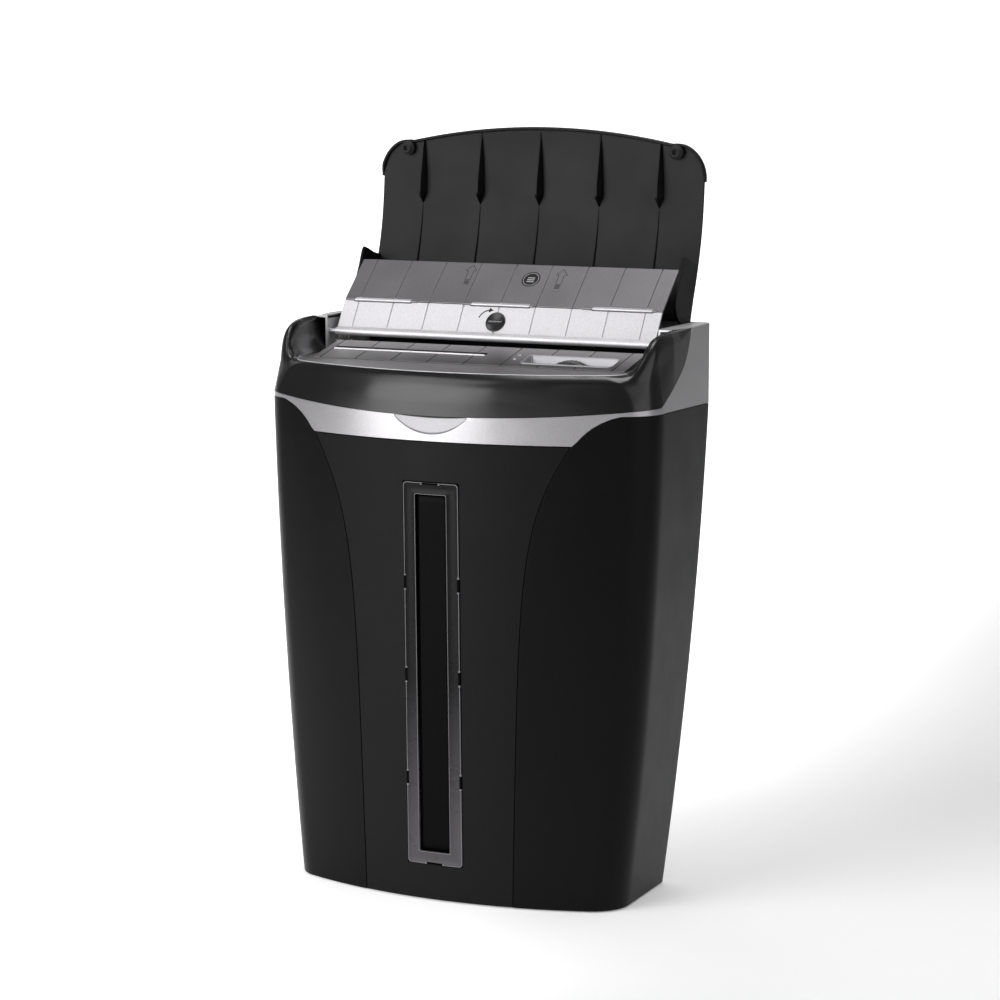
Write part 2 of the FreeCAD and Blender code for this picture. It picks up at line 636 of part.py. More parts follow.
def motor_clamp():
    """Band round the motor with two feet on the tray floor."""
    y, z = motor_axis()
    clamps = []
    for x in (48, 112):
        ring = rod_x(MOTOR_R + 1.6, x, x + 10, y, z).cut(rod_x(MOTOR_R, x - 1, x + 11, y, z))
        keep = box((0, 200), (y - 4, 120), (z, 460))
        foot = box((x, x + 10), (y + MOTOR_R, y + MOTOR_R + 1.6), (BASE_Z + BASE_T, z + 0.1))
        clamps.append(ring.common(keep).fuse(foot))
    return Part.Compound(clamps)


def reduction_axle():
    y, z = reduction_axis()
    return rod_x(4.0, FRAME_X + FRAME_T, WHEEL_X + WHEEL_WIDTH + 1, y, z)


def cutter_frame(side):
    """Steel side plate that carries both shafts, the feed roller and the gear axles."""
    x0 = side * FRAME_X if side > 0 else -FRAME_X - FRAME_T
    outline_points = [(-34, FRAME_LOW), (92, FRAME_LOW), (96, 430), (80, FRAME_HIGH), (46, FRAME_HIGH),
                      (40, 452), (-30, 452), (-34, 440)]
    plate = prism_yz(outline_points, x0, x0 + FRAME_T)
    tab_x = sorted_pair(side * (FRAME_X - 10), side * (FRAME_X + 1))
    tabs = [box(tab_x, (y, y + 12), (BASE_Z + BASE_T, FRAME_LOW)) for y in (-33, 78)]
    holes = [rod_x(11, x0 - 1, x0 + 5, y, CUT_Z) for y in (CUT_FRONT_Y, CUT_REAR_Y)]
    holes.append(rod_x(4.05, x0 - 1, x0 + 5, ROLLER_Y, ROLLER_Z))
    if side > 0:
        motor_y, motor_z = motor_axis()
        holes.append(rod_x(4.5, x0 - 1, x0 + 5, motor_y, motor_z))
    return fuse_all([plate] + tabs).cut(Part.Compound(holes))


def sorted_pair(a, b):
    return (min(a, b), max(a, b))


def frame_left():
    return cutter_frame(-1)


def frame_right():
    return cutter_frame(1)


def shaft_bushes():
    bushes = []
    for side in (-1, 1):
        x0 = FRAME_X - 1 if side > 0 else -FRAME_X - FRAME_T - 1
        for y in (CUT_FRONT_Y, CUT_REAR_Y):
            ring = rod_x(11, x0, x0 + 5, y, CUT_Z)
            bushes.append(ring.cut(rod_x(SHAFT_R + 0.05, x0 - 1, x0 + 6, y, CUT_Z)))
    return Part.Compound(bushes)


def tie_rods():
    places = ((-29, 392), (-29, 446), (88, 436))
    return Part.Compound([rod_x(3.5, -FRAME_X, FRAME_X, y, z) for y, z in places])


def throat_guides():
    """Sheet guides that lead paper from the manual slot and from the stack down to the cutters."""
    front = prism_yz([(5.0, 455.5), (6.0, 455.5), (8.0, 447), (7.0, 447)], -150, 150)
    middle = prism_yz([(26, 455), (28, 455), (14, 448.2), (12.6, 448.2)], -150, 150)
    rear = prism_yz([(45.5, 459.5), (46.5, 459.5), (46.5, 457), (20, 447.5), (19, 448.5), (45.5, 458)],
                    -150, 150)
    return Part.Compound([front, middle, rear])


def feed_tray():
    """Sloping floor that the stack of paper stands on, cut out for the feed rollers."""
    tray = prism_yz([(46.8, TRAY_Z - 1.0), (104, TRAY_Z + 1.0), (104, TRAY_Z + 3.0), (46.8, TRAY_Z + 1.0)],
                    -PLATE_HALF, PLATE_HALF)
    for x in (-90, 0, 90):
        tray = tray.cut(box((x - 16, x + 16), (46, 79), (440, 470)))
    lip = box((-PLATE_HALF, PLATE_HALF), (102, 104), (TRAY_Z + 2, 478))
    return tray.fuse(lip)


def feed_shaft():
    return rod_x(4.0, -164.5, 157.5, ROLLER_Y, ROLLER_Z)


def feed_rollers():
    rings = []
    for x in (-90, 0, 90):
        ring = rod_x(ROLLER_R, x - 13, x + 13, ROLLER_Y, ROLLER_Z)
        rings.append(ring.cut(rod_x(4.0, x - 14, x + 14, ROLLER_Y, ROLLER_Z)))
    return Part.Compound(rings)


def line_to_roller():
    return math.degrees(math.atan2(ROLLER_Z - CUT_Z, ROLLER_Y - CUT_REAR_Y))


def feed_drive_gear():
    return gear(ROLLER_MODULE, ROLLER_TEETH, 5, SHAFT_R, -163.5, CUT_REAR_Y, CUT_Z, line_to_roller())


def feed_roller_gear():
    phase = line_to_roller() + 180 + 180.0 / ROLLER_TEETH
    return gear(ROLLER_MODULE, ROLLER_TEETH, 5, 4.0, -163.5, ROLLER_Y, ROLLER_Z, phase)


def circuit_board():
    top = BASE_Z + 9.6
    board = box((-130, -50), (60, 100), (BASE_Z + 8, top))
    chips = [box((-122, -98), (66, 84), (top, top + 14.4)), box((-90, -80), (70, 90), (top, top + 10.4)),
             Part.makeCylinder(6, 18, V(-66, 78, top)), box((-60, -53), (86, 98), (top, top + 7.4))]
    posts = [Part.makeCylinder(2.5, 5.5, V(x, y, BASE_Z + BASE_T)) for x in (-126, -54) for y in (64, 96)]
    return fuse_all([board] + chips + posts)


def interlock_switch():
    body = box((-130, -110), (-47, -33), (BASE_Z + BASE_T, BASE_Z + 20))
    return body.cut(Part.makeCylinder(3.05, 40, V(-120, -40, BASE_Z - 5)))


def interlock_plunger():
    return Part.makeCylinder(3.0, 18, V(-120, -40, BASE_Z - 4))


def cord_gland():
    """Round gland in the back wall where a mains lead would come in."""
    ring = Part.makeCylinder(9, 12, V(-110, 108, 440), Y_AXIS)
    ring = ring.cut(Part.makeCylinder(4.2, 40, V(-110, 100, 440), Y_AXIS))
    return ring.common(box((-200, 0), (100, 119.5), (400, 480)))


# ---- feed plates -----------------------------------------------------------------------------------------
def along(angle, distance, y, z):
    return y + distance * math.cos(math.radians(angle)), z + distance * math.sin(math.radians(angle))


def joint_axis():
    return along(LOWER_ANGLE, LOWER_LEN, ROD_Y, ROD_Z)


def flat_plate(start, end, front, thick):
    """A plate in its own plane: local Y runs up the plate, local Z out of its front face."""
    return box((-PLATE_HALF, PLATE_HALF), (start, end), (front - thick, front))


def stand(shape, angle, y, z):
    """Turn a shape built along +Y by the plate's angle and carry it to its pivot."""
    shape.rotate(V(0, 0, 0), X_AXIS, angle)
    shape.translate(V(0, y, z))
    return shape


def plate_grooves(start, end):
    return Part.Compound([box((GROOVE_PITCH * i - 0.4, GROOVE_PITCH * i + 0.4), (start, end), (-0.35, 1))
                          for i in range(-4, 5)])


def hinge_recesses(start, end):
    """Cut-outs in a plate's edge where the hinge tabs sit."""
    reach = KNUCKLE_LEN / 2 + 6.4
    return Part.Compound([box((x - reach, x + reach), (start, end), (-5, 5)) for x in KNUCKLE_CENTRES])


def lower_plate():
    sheet = flat_plate(0, LOWER_LEN - SEAM_GAP, 0, PLATE_T).cut(hinge_recesses(LOWER_LEN - KNUCKLE_GAP, 40))
    barrel = rod_x(BARREL_R, -PLATE_HALF, PLATE_HALF, 0, 0)
    body = [sheet, barrel]
    for x in KNUCKLE_CENTRES:
        for side in (-1, 1):
            x0 = x + side * (KNUCKLE_LEN / 2 + 3.2) - 2.8
            body.append(rod_x(KNUCKLE_R, x0, x0 + 5.6, LOWER_LEN, 0))
            body.append(box((x0, x0 + 5.6), (LOWER_LEN - 6, LOWER_LEN), (-KNUCKLE_R + 0.1, -0.4)))
    plate = fuse_all(body).cut(rod_x(ROD_BORE_R, -200, 200, 0, 0)).cut(rod_x(PIN_R, -200, 200, LOWER_LEN, 0))
    plate = plate.cut(plate_grooves(BARREL_R + 0.5, LOWER_LEN))
    plate = plate.cut(Part.makeCylinder(3.05, 10, V(0, KNOB_UP, -5)))
    return stand(plate, LOWER_ANGLE, ROD_Y, ROD_Z)


def upper_plate():
    sheet = flat_plate(SEAM_GAP, UPPER_LEN, 0, PLATE_T).cut(hinge_recesses(-5, KNUCKLE_GAP))
    body = [sheet, rod_x(PLATE_T / 2, -PLATE_HALF, PLATE_HALF, UPPER_LEN, -PLATE_T / 2)]
    for x in KNUCKLE_CENTRES:
        half = KNUCKLE_LEN / 2
        body.append(rod_x(KNUCKLE_R, x - half, x + half, 0, 0))
        body.append(box((x - half, x + half), (0, 6), (-KNUCKLE_R + 0.1, -0.4)))
    plate = fuse_all(body).cut(rod_x(PIN_BORE_R, -200, 200, 0, 0)).cut(plate_grooves(4.5, UPPER_LEN + 2))
    return stand(plate, UPPER_ANGLE, *joint_axis())


def plate_rod():
    return rod_x(ROD_R, -CHEEK_X - 2.4, CHEEK_X + 2.4, ROD_Y, ROD_Z)


def plate_hinge_pins():
    y, z = joint_axis()
    reach = KNUCKLE_LEN / 2 + 6.0
    return Part.Compound([rod_x(PIN_R, x - reach, x + reach, y, z) for x in KNUCKLE_CENTRES])


def lock_knob():
    """Quarter-turn knob with a finger bar, and the stem that turns the cam behind the plate."""
    disc = Part.makeCylinder(KNOB_R, 0.7, V(0, KNOB_UP, 0.1))
    bar = box((-KNOB_BAR_HALF, KNOB_BAR_HALF), (KNOB_UP - 1.6, KNOB_UP + 1.6), (0.8, 1.5))
    stem = Part.makeCylinder(3.0, PLATE_T + 4, V(0, KNOB_UP, -PLATE_T - 3.8))
    return stand(fuse_all([disc, bar, stem]), LOWER_ANGLE, ROD_Y, ROD_Z)


def lock_cam():
    cam = box((-12, 12), (KNOB_UP - 4.5, KNOB_UP + 4.5), (-PLATE_T - 3.8, -PLATE_T - 1.8))
    cam = cam.cut(Part.makeCylinder(3.0, 10, V(0, KNOB_UP, -PLATE_T - 9)))
    return stand(cam, LOWER_ANGLE, ROD_Y, ROD_Z)


# ---- lid -------------------------------------------------------------------------------------------------
def lid_curve(offset):
    """Front face of the paper rest in the YZ plane, moved back by the offset."""
    points = [(106.6, 495.5), (112.5, 508.0), (123.0, 535.0), (132.0, 567.0), (137.0, 604.0), (138.8, 642.0),
              (138.4, LID_TOP)]
    return [V(-LID_HALF, y + offset, z) for y, z in points]


def lid_top_arc(drop, low=400.0):
    """Front view of the lid: straight sides, round shoulders and a gently bowed top."""
    half = LID_HALF - drop
    shoulder = 26.0
    side_top = 619.0
    arc = Part.Arc(V(-half + shoulder, 50, side_top + shoulder), V(0, 50, LID_TOP - drop),
                   V(half - shoulder, 50, side_top + shoulder)).toShape()
    bend = shoulder * (1 - math.sqrt(0.5))
    right = Part.Arc(V(half - shoulder, 50, side_top + shoulder),
                     V(half - bend, 50, side_top + shoulder - bend),
                     V(half, 50, side_top)).toShape()
    left = Part.Arc(V(-half, 50, side_top), V(-half + bend, 50, side_top + shoulder - bend),
                    V(-half + shoulder, 50, side_top + shoulder)).toShape()
    path = [V(half, 50, side_top), V(half, 50, low), V(-half, 50, low), V(-half, 50, side_top)]
    lines = [Part.LineSegment(a, b).toShape() for a, b in zip(path, path[1:])]
    return closed_prism([arc, right, left] + lines, V(0, 140, 0))


def curved_sheet(front, back):
    """The space between two copies of the lid's curve, across its whole width."""
    near, far = lid_curve(front), lid_curve(back)
    edges = [spline(near), spline(far), Part.LineSegment(near[0], far[0]).toShape(),
             Part.LineSegment(near[-1], far[-1]).toShape()]
    return closed_prism(edges, V(2 * LID_HALF, 0, 0))


def lid_rib(x):
    """One rib: a thin strip below, swelling to a fin that tapers to the top edge."""
    strip = curved_sheet(-2.5, 0.5).common(box((x - 0.7, x + 0.7), (50, 200), (500, 592)))
    fin = curved_sheet(-9.0, 0.5)
    blade = prism([V(x - 3.2, 50, 592), V(x + 3.2, 50, 592), V(x + 0.7, 50, 652), V(x - 0.7, 50, 652)],
                  V(0, 150, 0))
    slope = prism_yz([(120, 590), (124.5, 590), (138.5, 652), (138.5, 660), (100, 660), (100, 590)],
                     -200, 200)
    return strip.fuse(fin.common(blade).cut(slope))


def lid_panel():
    """Paper rest: curved sheet with a stiffened rim, five ribs, and an arm on each side."""
    shape = curved_sheet(0, LID_T).common(lid_top_arc(0))
    rim = curved_sheet(-3.0, 0.5).common(lid_top_arc(0)).cut(lid_top_arc(2.2))
    rim = rim.common(box((-200, 200), (50, 200), (545, 700)))
    pieces = [shape, rim] + [lid_rib(x) for x in RIB_X]
    arm_outline = [(100.5, 482.5), (106, 480.0), (110.5, 482.5), (110.5, 493), (127.5, 541), (113.0, 543),
                   (96.0, 549), (87.0, 532), (80.0, 519), (76.5, 505), (84.0, 494)]
    for side in (-1, 1):
        x0, x1 = sorted_pair(side * LID_HALF, side * (LID_HALF - 2.3))
        arm = prism_yz(arm_outline, x0, x1)
        hole = rod_x(LID_PIN_R, x0 - 1, x1 + 1, LID_Y, LID_Z)
        pieces.append(arm.cut(hole))
    return fuse_all(pieces)


def lid_pivot_pins():
    pins = []
    for side in (-1, 1):
        x0, x1 = sorted_pair(side * (LID_HALF - 4.0), side * (CHEEK_X + 2.4))
        collar_a, collar_b = sorted_pair(side * (LID_HALF - 4.0), side * (LID_HALF - 2.4))
        pin = rod_x(LID_PIN_R, x0, x1, LID_Y, LID_Z)
        pins.append(pin.fuse(rod_x(LID_PIN_R + 1.6, collar_a, collar_b, LID_Y, LID_Z)))
    return Part.Compound(pins)


def lid_bumpers():
    bumpers = []
    for side in (-1, 1):
        boss = Part.makeCylinder(5.5, 7.0, V(side * 132, 138.2, 636), V(0, -1, 0))
        boss = boss.cut(Part.makeCylinder(2.2, 3.0, V(side * 132, 131.5, 636), Y_AXIS))
        bumpers.append(boss.common(box((-200, 200), (100, 138.3), (600, 660))))
    return Part.Compound(bumpers)


PARTS = {
    "bin_shell": bin_shell,
    "front_panel": front_panel,
    "bin_feet": bin_feet,
    "window_frame": window_frame,
    "window_pane": window_pane,
    "interlock_striker": interlock_striker,
    "head_housing": head_housing,
    "front_fascia": front_fascia,
    "control_deck": control_deck,
    "slot_inlay": slot_inlay,
    "switch_well": switch_well,
    "mode_slider": mode_slider,
    "status_leds": status_leds,
    "cheek_liner_left": cheek_liner_left,
    "cheek_liner_right": cheek_liner_right,
    "head_base": base_with_bosses,
    "base_screws": base_screws,
    "cutter_front": cutter_front,
    "cutter_rear": cutter_rear,
    "comb_front": comb_front,
    "comb_rear": comb_rear,
    "gear_front": gear_front,
    "gear_rear": gear_rear,
    "reduction_gear": reduction_gear,
    "reduction_axle": reduction_axle,
    "motor_pinion": motor_pinion,
    "motor_shaft": motor_shaft,
    "motor_body": motor_body,
    "motor_clamp": motor_clamp,
    "frame_left": frame_left,
    "frame_right": frame_right,
    "shaft_bushes": shaft_bushes,
    "tie_rods": tie_rods,
    "throat_guides": throat_guides,
    "feed_tray": feed_tray,
    "feed_shaft": feed_shaft,
    "feed_rollers": feed_rollers,
    "feed_drive_gear": feed_drive_gear,
    "feed_roller_gear": feed_roller_gear,
    "circuit_board": circuit_board,
    "interlock_switch": interlock_switch,
    "interlock_plunger": interlock_plunger,
    "cord_gland": cord_gland,
    "plate_rod": plate_rod,
    "lower_plate": lower_plate,
    "upper_plate": upper_plate,
    "plate_hinge_pins": plate_hinge_pins,
    "lock_knob": lock_knob,
    "lock_cam": lock_cam,
    "lid_panel": lid_panel,
    "lid_pivot_pins": lid_pivot_pins,
    "lid_bumpers": lid_bumpers,
}


def main():
    os.makedirs("parts", exist_ok=True)
    for name, make in PARTS.items():
        shape = make()
        volume = round(shape.Volume / 1000, 2)
        print(name, "solids", len(shape.Solids), "valid", shape.isValid(), "cm3", volume)
        shape.exportStep("parts/" + name + ".step")


main()
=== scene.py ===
"""Looks of the auto-feed paper shredder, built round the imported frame.

Sizes are in millimetres and turn into metres in the mesh."""

import bmesh
import bpy
import math
import numpy as np
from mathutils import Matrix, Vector


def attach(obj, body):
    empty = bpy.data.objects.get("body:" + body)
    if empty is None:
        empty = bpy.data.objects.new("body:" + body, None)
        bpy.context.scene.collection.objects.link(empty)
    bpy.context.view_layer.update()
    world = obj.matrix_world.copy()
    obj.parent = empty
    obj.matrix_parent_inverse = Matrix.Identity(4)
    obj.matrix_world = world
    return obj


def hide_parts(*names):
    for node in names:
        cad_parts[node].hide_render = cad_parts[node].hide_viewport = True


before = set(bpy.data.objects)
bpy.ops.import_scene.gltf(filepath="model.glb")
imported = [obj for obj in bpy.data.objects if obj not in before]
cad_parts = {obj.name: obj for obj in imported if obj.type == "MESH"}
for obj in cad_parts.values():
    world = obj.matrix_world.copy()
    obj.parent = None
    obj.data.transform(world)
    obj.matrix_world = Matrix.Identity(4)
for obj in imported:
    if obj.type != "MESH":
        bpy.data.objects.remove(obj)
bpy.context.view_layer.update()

MM = 0.001

# ---- driving dimensions, as in the CAD model ----
BOW_R = 378.0
FRONT_CORNER_R = 34.0
REAR_CORNER_R = 5.0
BIN_TOP, BIN_LIFT, LIFT_END_Y = 421.0, 3.8, 122.0
HEAD_TOP = 491.0
BAND_DIP = 399.5
BAND_CORNER_X, BAND_END_X = 123.3, 161.0
FASCIA_Z = 421.0
FASCIA_RISE = 10.0
DECK_FRONT_Y, DECK_FRONT_Z, DECK_REAR_Y = -70.0, 457.5, 30.0
DECK_SLOPE = 0.024
DECK_HALF = 159.5
CHEEK_Y, CHEEK_X = 33.5, 160.0
SWEEP = ((-24, 427), (2, 437), (37, 454), (58, 473.5), (71, 500))
WING_START, WING_END = 457.5, 490.8
WING_TOP = ((-38, WING_START), (-32, 462), (-26, 469.5), (-20, 476.5), (-12, 483.5), (0, 488.5),
            (16, 490.3), (33.2, WING_END))
SEAM = ((403.5, 123.3), (364, 102), (320, 88), (255, 79.5), (150, 74.5), (0, 70.5))
INLAY_X, INLAY_Y, INLAY_Z = (-146.0, 151.0), (-16.5, 28.5), (459.8, 470.5)
SLOT_X, SLOT_Y = (-138.0, 10.0), (6.5, 12.5)
WELL_X, WELL_Y, WELL_DEPTH = (50.0, 136.0), (-10.0, 12.0), 5.0
LED_X, LED_Y = 41.0, (0.0, 10.0)
WINDOW_HALF, WINDOW_LOW, WINDOW_HIGH = 26.0, 32.4, 364.6
PANE_HALF, PANE_LOW, PANE_HIGH = 14.5, 43.6, 354.2
ROD_Y, ROD_Z, BARREL_R = 38.8, 476.9, 3.4
LOWER_ANGLE, LOWER_LEN = 58.6, 31.9
UPPER_ANGLE, UPPER_LEN = 43.0, 48.8
PLATE_HALF, PLATE_T = 154.0, 1.6
GROOVE_PITCH = 34.8
KNUCKLE_CENTRES, KNUCKLE_LEN, KNUCKLE_R = (-115.5, 0.5, 116.8), 56.0, 1.15
KNOB_R, KNOB_BAR_HALF, KNOB_UP = 9.3, 7.2, 15.5
LID_HALF, LID_T, LID_TOP = 157.5, 2.45, 656.85
LID_LINE = ((495.5, 106.6), (508, 112.5), (535, 123), (567, 132), (604, 137), (642, 138.8), (657, 138.4))
RIB_X = (-116.4, -58.5, 0.0, 58.5, 116.4)


# ---- curves ----
def clamp(value, low=0.0, high=1.0):
    return min(max(value, low), high)


class Spline:
    """Natural cubic through (parameter, value) knots."""

    def __init__(self, knots):
        self.t = np.array([k[0] for k in knots], float)
        self.v = np.array([k[1] for k in knots], float)
        if self.t[0] > self.t[-1]:
            self.t, self.v = self.t[::-1], self.v[::-1]
        n = len(self.t)
        h = np.diff(self.t)
        a = np.eye(n)
        b = np.zeros(n)
        for i in range(1, n - 1):
            a[i, i - 1:i + 2] = h[i - 1], 2 * (h[i - 1] + h[i]), h[i]
            b[i] = 6 * ((self.v[i + 1] - self.v[i]) / h[i] - (self.v[i] - self.v[i - 1]) / h[i - 1])
        self.m = np.linalg.solve(a, b)

    def __call__(self, t):
        t = clamp(t, self.t[0], self.t[-1])
        i = clamp(int(np.searchsorted(self.t, t)) - 1, 0, len(self.t) - 2)
        h = self.t[i + 1] - self.t[i]
        p = (self.t[i + 1] - t) / h
        q = (t - self.t[i]) / h
        bend = ((p ** 3 - p) * self.m[i] + (q ** 3 - q) * self.m[i + 1]) * h * h / 6
        return float(p * self.v[i] + q * self.v[i + 1] + bend)


seam_x = Spline(SEAM)
sweep_z = Spline(SWEEP)
wing_z = Spline(WING_TOP)
lid_y = Spline(LID_LINE)


def casing_size(z):
    """Half widths at front and rear and the y of both at one height.

    Quadratics up the bin; over the head's height the sides lean in and the front and back out."""
    u = min(z, BIN_TOP) / BIN_TOP
    over = max(z - BIN_TOP, 0.0) / (HEAD_TOP - BIN_TOP)
    front_half = 155.97 + 46.8 * u - 18.8 * u * u - 2.0 * over
    rear_half = 152.5 + 31.6 * u - 10.1 * u * u - 1.5 * over
    front_y = -71.0 - 9.0 * u - 1.0 * over
    rear_y = 72.0 + 66.1 * u - 22.1 * u * u + 4.0 * over
    return front_half, rear_half, front_y, rear_y


class Plan:
    """Plan outline at one height: stations run 0 to 5 from the front middle round the right side.

    0-1 bowed front, 1-2 front corner, 2-3 side (2.5 is at y = split), 3-4 rear corner, 4-5 back."""

    def __init__(self, front_half, rear_half, front_y, rear_y, inset, corner=FRONT_CORNER_R,
                 rear=REAR_CORNER_R, split=CHEEK_Y):
        self.bow = BOW_R - inset
        self.centre_y = front_y + BOW_R
        self.corner = max(corner - inset, 2.0)
        self.rear = max(rear - inset, 1.0)
        side_a = Vector((front_half, -10.0))
        self.along = (Vector((rear_half, rear_y)) - side_a).normalized()
        self.inward = Vector((-self.along.y, self.along.x))
        if self.inward.x > 0:
            self.inward = -self.inward
        start = side_a + self.inward * (inset + self.corner)
        bow_centre = Vector((0.0, self.centre_y))
        gap = start - bow_centre
        half_b = gap.dot(self.along)
        root = math.sqrt(half_b * half_b - gap.dot(gap) + (self.bow - self.corner) ** 2)
        self.c = start + self.along * (-half_b - root)
        out = (self.c - bow_centre).normalized()
        self.touch_front = self.c + out * self.corner
        self.touch_side = self.c - self.inward * self.corner
        self.a0 = math.atan2(out.y, out.x)
        self.a1 = math.atan2(-self.inward.y, -self.inward.x)
        line = side_a + self.inward * inset
        self.line = line
        self.back_y = rear_y - inset
        self.rear_start = line + self.along * ((self.back_y - self.rear - line.y) / self.along.y)
        self.split = line + self.along * ((split - line.y) / self.along.y)

    def bow_y(self, x):
        return self.centre_y - math.sqrt(self.bow ** 2 - x * x)

    def at(self, s, start_x=0.0):
        if s <= 1:
            x = start_x + (self.touch_front.x - start_x) * s
            return x, self.bow_y(x)
        if s <= 2:
            a = self.a0 + (self.a1 - self.a0) * (s - 1)
            return self.c.x + self.corner * math.cos(a), self.c.y + self.corner * math.sin(a)
        if s <= 2.5:
            p = self.touch_side.lerp(self.split, (s - 2) * 2)
            return p.x, p.y
        if s <= 3:
            p = self.split.lerp(self.rear_start, (s - 2.5) * 2)
            return p.x, p.y
        if s <= 4:
            a = math.pi / 2 * (s - 3)
            return (self.rear_start.x - self.rear * (1 - math.cos(a)),
                    self.back_y - self.rear * (1 - math.sin(a)))
        return (self.rear_start.x - self.rear) * (5 - s), self.back_y


def casing_plan(z, inset=0.0):
    return Plan(*casing_size(z), inset)


def deck_plan(inset=0.0, rear_y=DECK_REAR_Y + 60):
    return Plan(DECK_HALF, DECK_HALF, DECK_FRONT_Y, rear_y, inset, 30.0, 2.0)


def spread(a, b, n):
    return [a + (b - a) * i / n for i in range(n + 1)]


def stations(*counts):
    """Stations along bow, front corner, side up to the split and on, rear corner and back, by count."""
    ends = (0, 1, 2, 2.5, 3, 4, 5)
    out = [0.0]
    for a, b, n in zip(ends, ends[1:], counts):
        out += spread(a, b, n)[1:]
    return out


def arc_z(x, low=FASCIA_Z, rise=FASCIA_RISE, half=190.0):
    radius = (half * half + rise * rise) / (2 * rise)
    return low + radius - math.sqrt(radius * radius - min(abs(x), half) ** 2)


def bin_line(x, y):
    """Height of the parting line between bin and head."""
    if y > 0:
        return BIN_TOP + BIN_LIFT * clamp((LIFT_END_Y - y) / LIFT_END_Y)
    ax = abs(x)
    if ax <= BAND_CORNER_X:
        return BAND_DIP
    if ax >= BAND_END_X:
        return BIN_TOP + BIN_LIFT
    cx, cy, radius = BIN_ARC
    return cy + math.sqrt(max(radius ** 2 - (ax - cx) ** 2, 0.0))


def circle_through(a, b, c):
    d = 2 * (a[0] * (b[1] - c[1]) + b[0] * (c[1] - a[1]) + c[0] * (a[1] - b[1]))
    sq = [p[0] ** 2 + p[1] ** 2 for p in (a, b, c)]
    ux = (sq[0] * (b[1] - c[1]) + sq[1] * (c[1] - a[1]) + sq[2] * (a[1] - b[1])) / d
    uy = (sq[0] * (c[0] - b[0]) + sq[1] * (a[0] - c[0]) + sq[2] * (b[0] - a[0])) / d
    return ux, uy, math.hypot(a[0] - ux, a[1] - uy)


# the curve from the band's corner up to the level of the sides
BIN_ARC = circle_through((BAND_CORNER_X, BAND_DIP), (136.5, 413.6), (BAND_END_X, BIN_TOP + BIN_LIFT))


def fascia_line(x, y):
    """Lower edge of the black fascia: a shallow arc in front, then the sweep up the side."""
    front = arc_z(x)
    return front if y < -24 else max(front, sweep_z(y))


# ---- mesh helpers ----
EVERYWHERE = (-1e4, 1e4)
SIDES = ((-1, "left"), (1, "right"))


def link_object(name, data):
    obj = bpy.data.objects.new(name, data)
    bpy.context.scene.collection.objects.link(obj)
    return obj


def mesh_object(name, bm, smooth=True, outward=None):
    """A closed mesh, or an open sheet whose faces turn the way `outward` says for their centre."""
    if outward:
        bm.normal_update()
        for face in bm.faces:
            if face.normal.dot(Vector(outward(face.calc_center_median() / MM))) < 0:
                face.normal_flip()
    else:
        bmesh.ops.recalc_face_normals(bm, faces=bm.faces)
    mesh = bpy.data.meshes.new(name)
    bm.to_mesh(mesh)
    bm.free()
    for poly in mesh.polygons:
        poly.use_smooth = smooth
    return link_object(name, mesh)


def grid_faces(bm, rows, closed=False):
    """Faces between rows of points in millimetres; each row has the same count."""
    verts = [[bm.verts.new(Vector(p) * MM) for p in row] for row in rows]
    for low, high in zip(verts, verts[1:]):
        count = len(low)
        for j in range(count if closed else count - 1):
            k = (j + 1) % count
            bm.faces.new([low[j], low[k], high[k], high[j]])
    return verts


def loft(bm, rows):
    """Closed tube through the rows, with a face at each end."""
    verts = grid_faces(bm, rows, closed=True)
    bm.faces.new(verts[0])
    bm.faces.new(list(reversed(verts[-1])))


def flip(points):
    """The points with x turned over, in the same order."""
    return [(-p[0], *p[1:]) for p in points]


def flip_columns(columns):
    """The left half's columns, from the far left to the middle."""
    return [flip(column) for column in reversed(columns)]


def arc(start, end, n, rx=1.0, ry=None, cx=0.0, cy=0.0):
    """n + 1 points of a circle or ellipse between two angles in degrees."""
    angles = [math.radians(a) for a in spread(start, end, n)]
    return [(cx + rx * math.cos(a), cy + (ry or rx) * math.sin(a)) for a in angles]


def weld(bm, dist=0.002):
    bmesh.ops.remove_doubles(bm, verts=bm.verts, dist=dist * MM)
    bmesh.ops.dissolve_degenerate(bm, edges=bm.edges, dist=dist * MM)


def drop_cells(bm, *ranges):
    """Remove faces whose centre lies within the ranges for x, y and, where given, z."""
    doomed = []
    for face in bm.faces:
        centre = face.calc_center_median() / MM
        if all(low < value < high for value, (low, high) in zip(centre, ranges)):
            doomed.append(face)
    bmesh.ops.delete(bm, geom=doomed, context="FACES")


def thicken(obj, thickness):
    mod = obj.modifiers.new("thickness", "SOLIDIFY")
    mod.thickness = thickness * MM
    mod.offset = -1.0
    mod.use_even_offset = False
    mod.use_rim = True


def soften(obj, width, segments=3, angle=35.0):
    mod = obj.modifiers.new("edge", "BEVEL")
    mod.width = width * MM
    mod.segments = segments
    mod.limit_method = "ANGLE"
    mod.angle_limit = math.radians(angle)
    mod.use_clamp_overlap = True
    mod.harden_normals = True


def prism_mesh(bm, outline, low, high, axis="z"):
    """Closed prism from an outline of 2D points: x,y for axis z and y,z for axis x."""
    loft(bm, [[(*p, d) if axis == "z" else (d, *p) for p in outline] for d in (low, high)])


def block(bm, x, y, z):
    prism_mesh(bm, [(x[0], y[0]), (x[1], y[0]), (x[1], y[1]), (x[0], y[1])], *z)


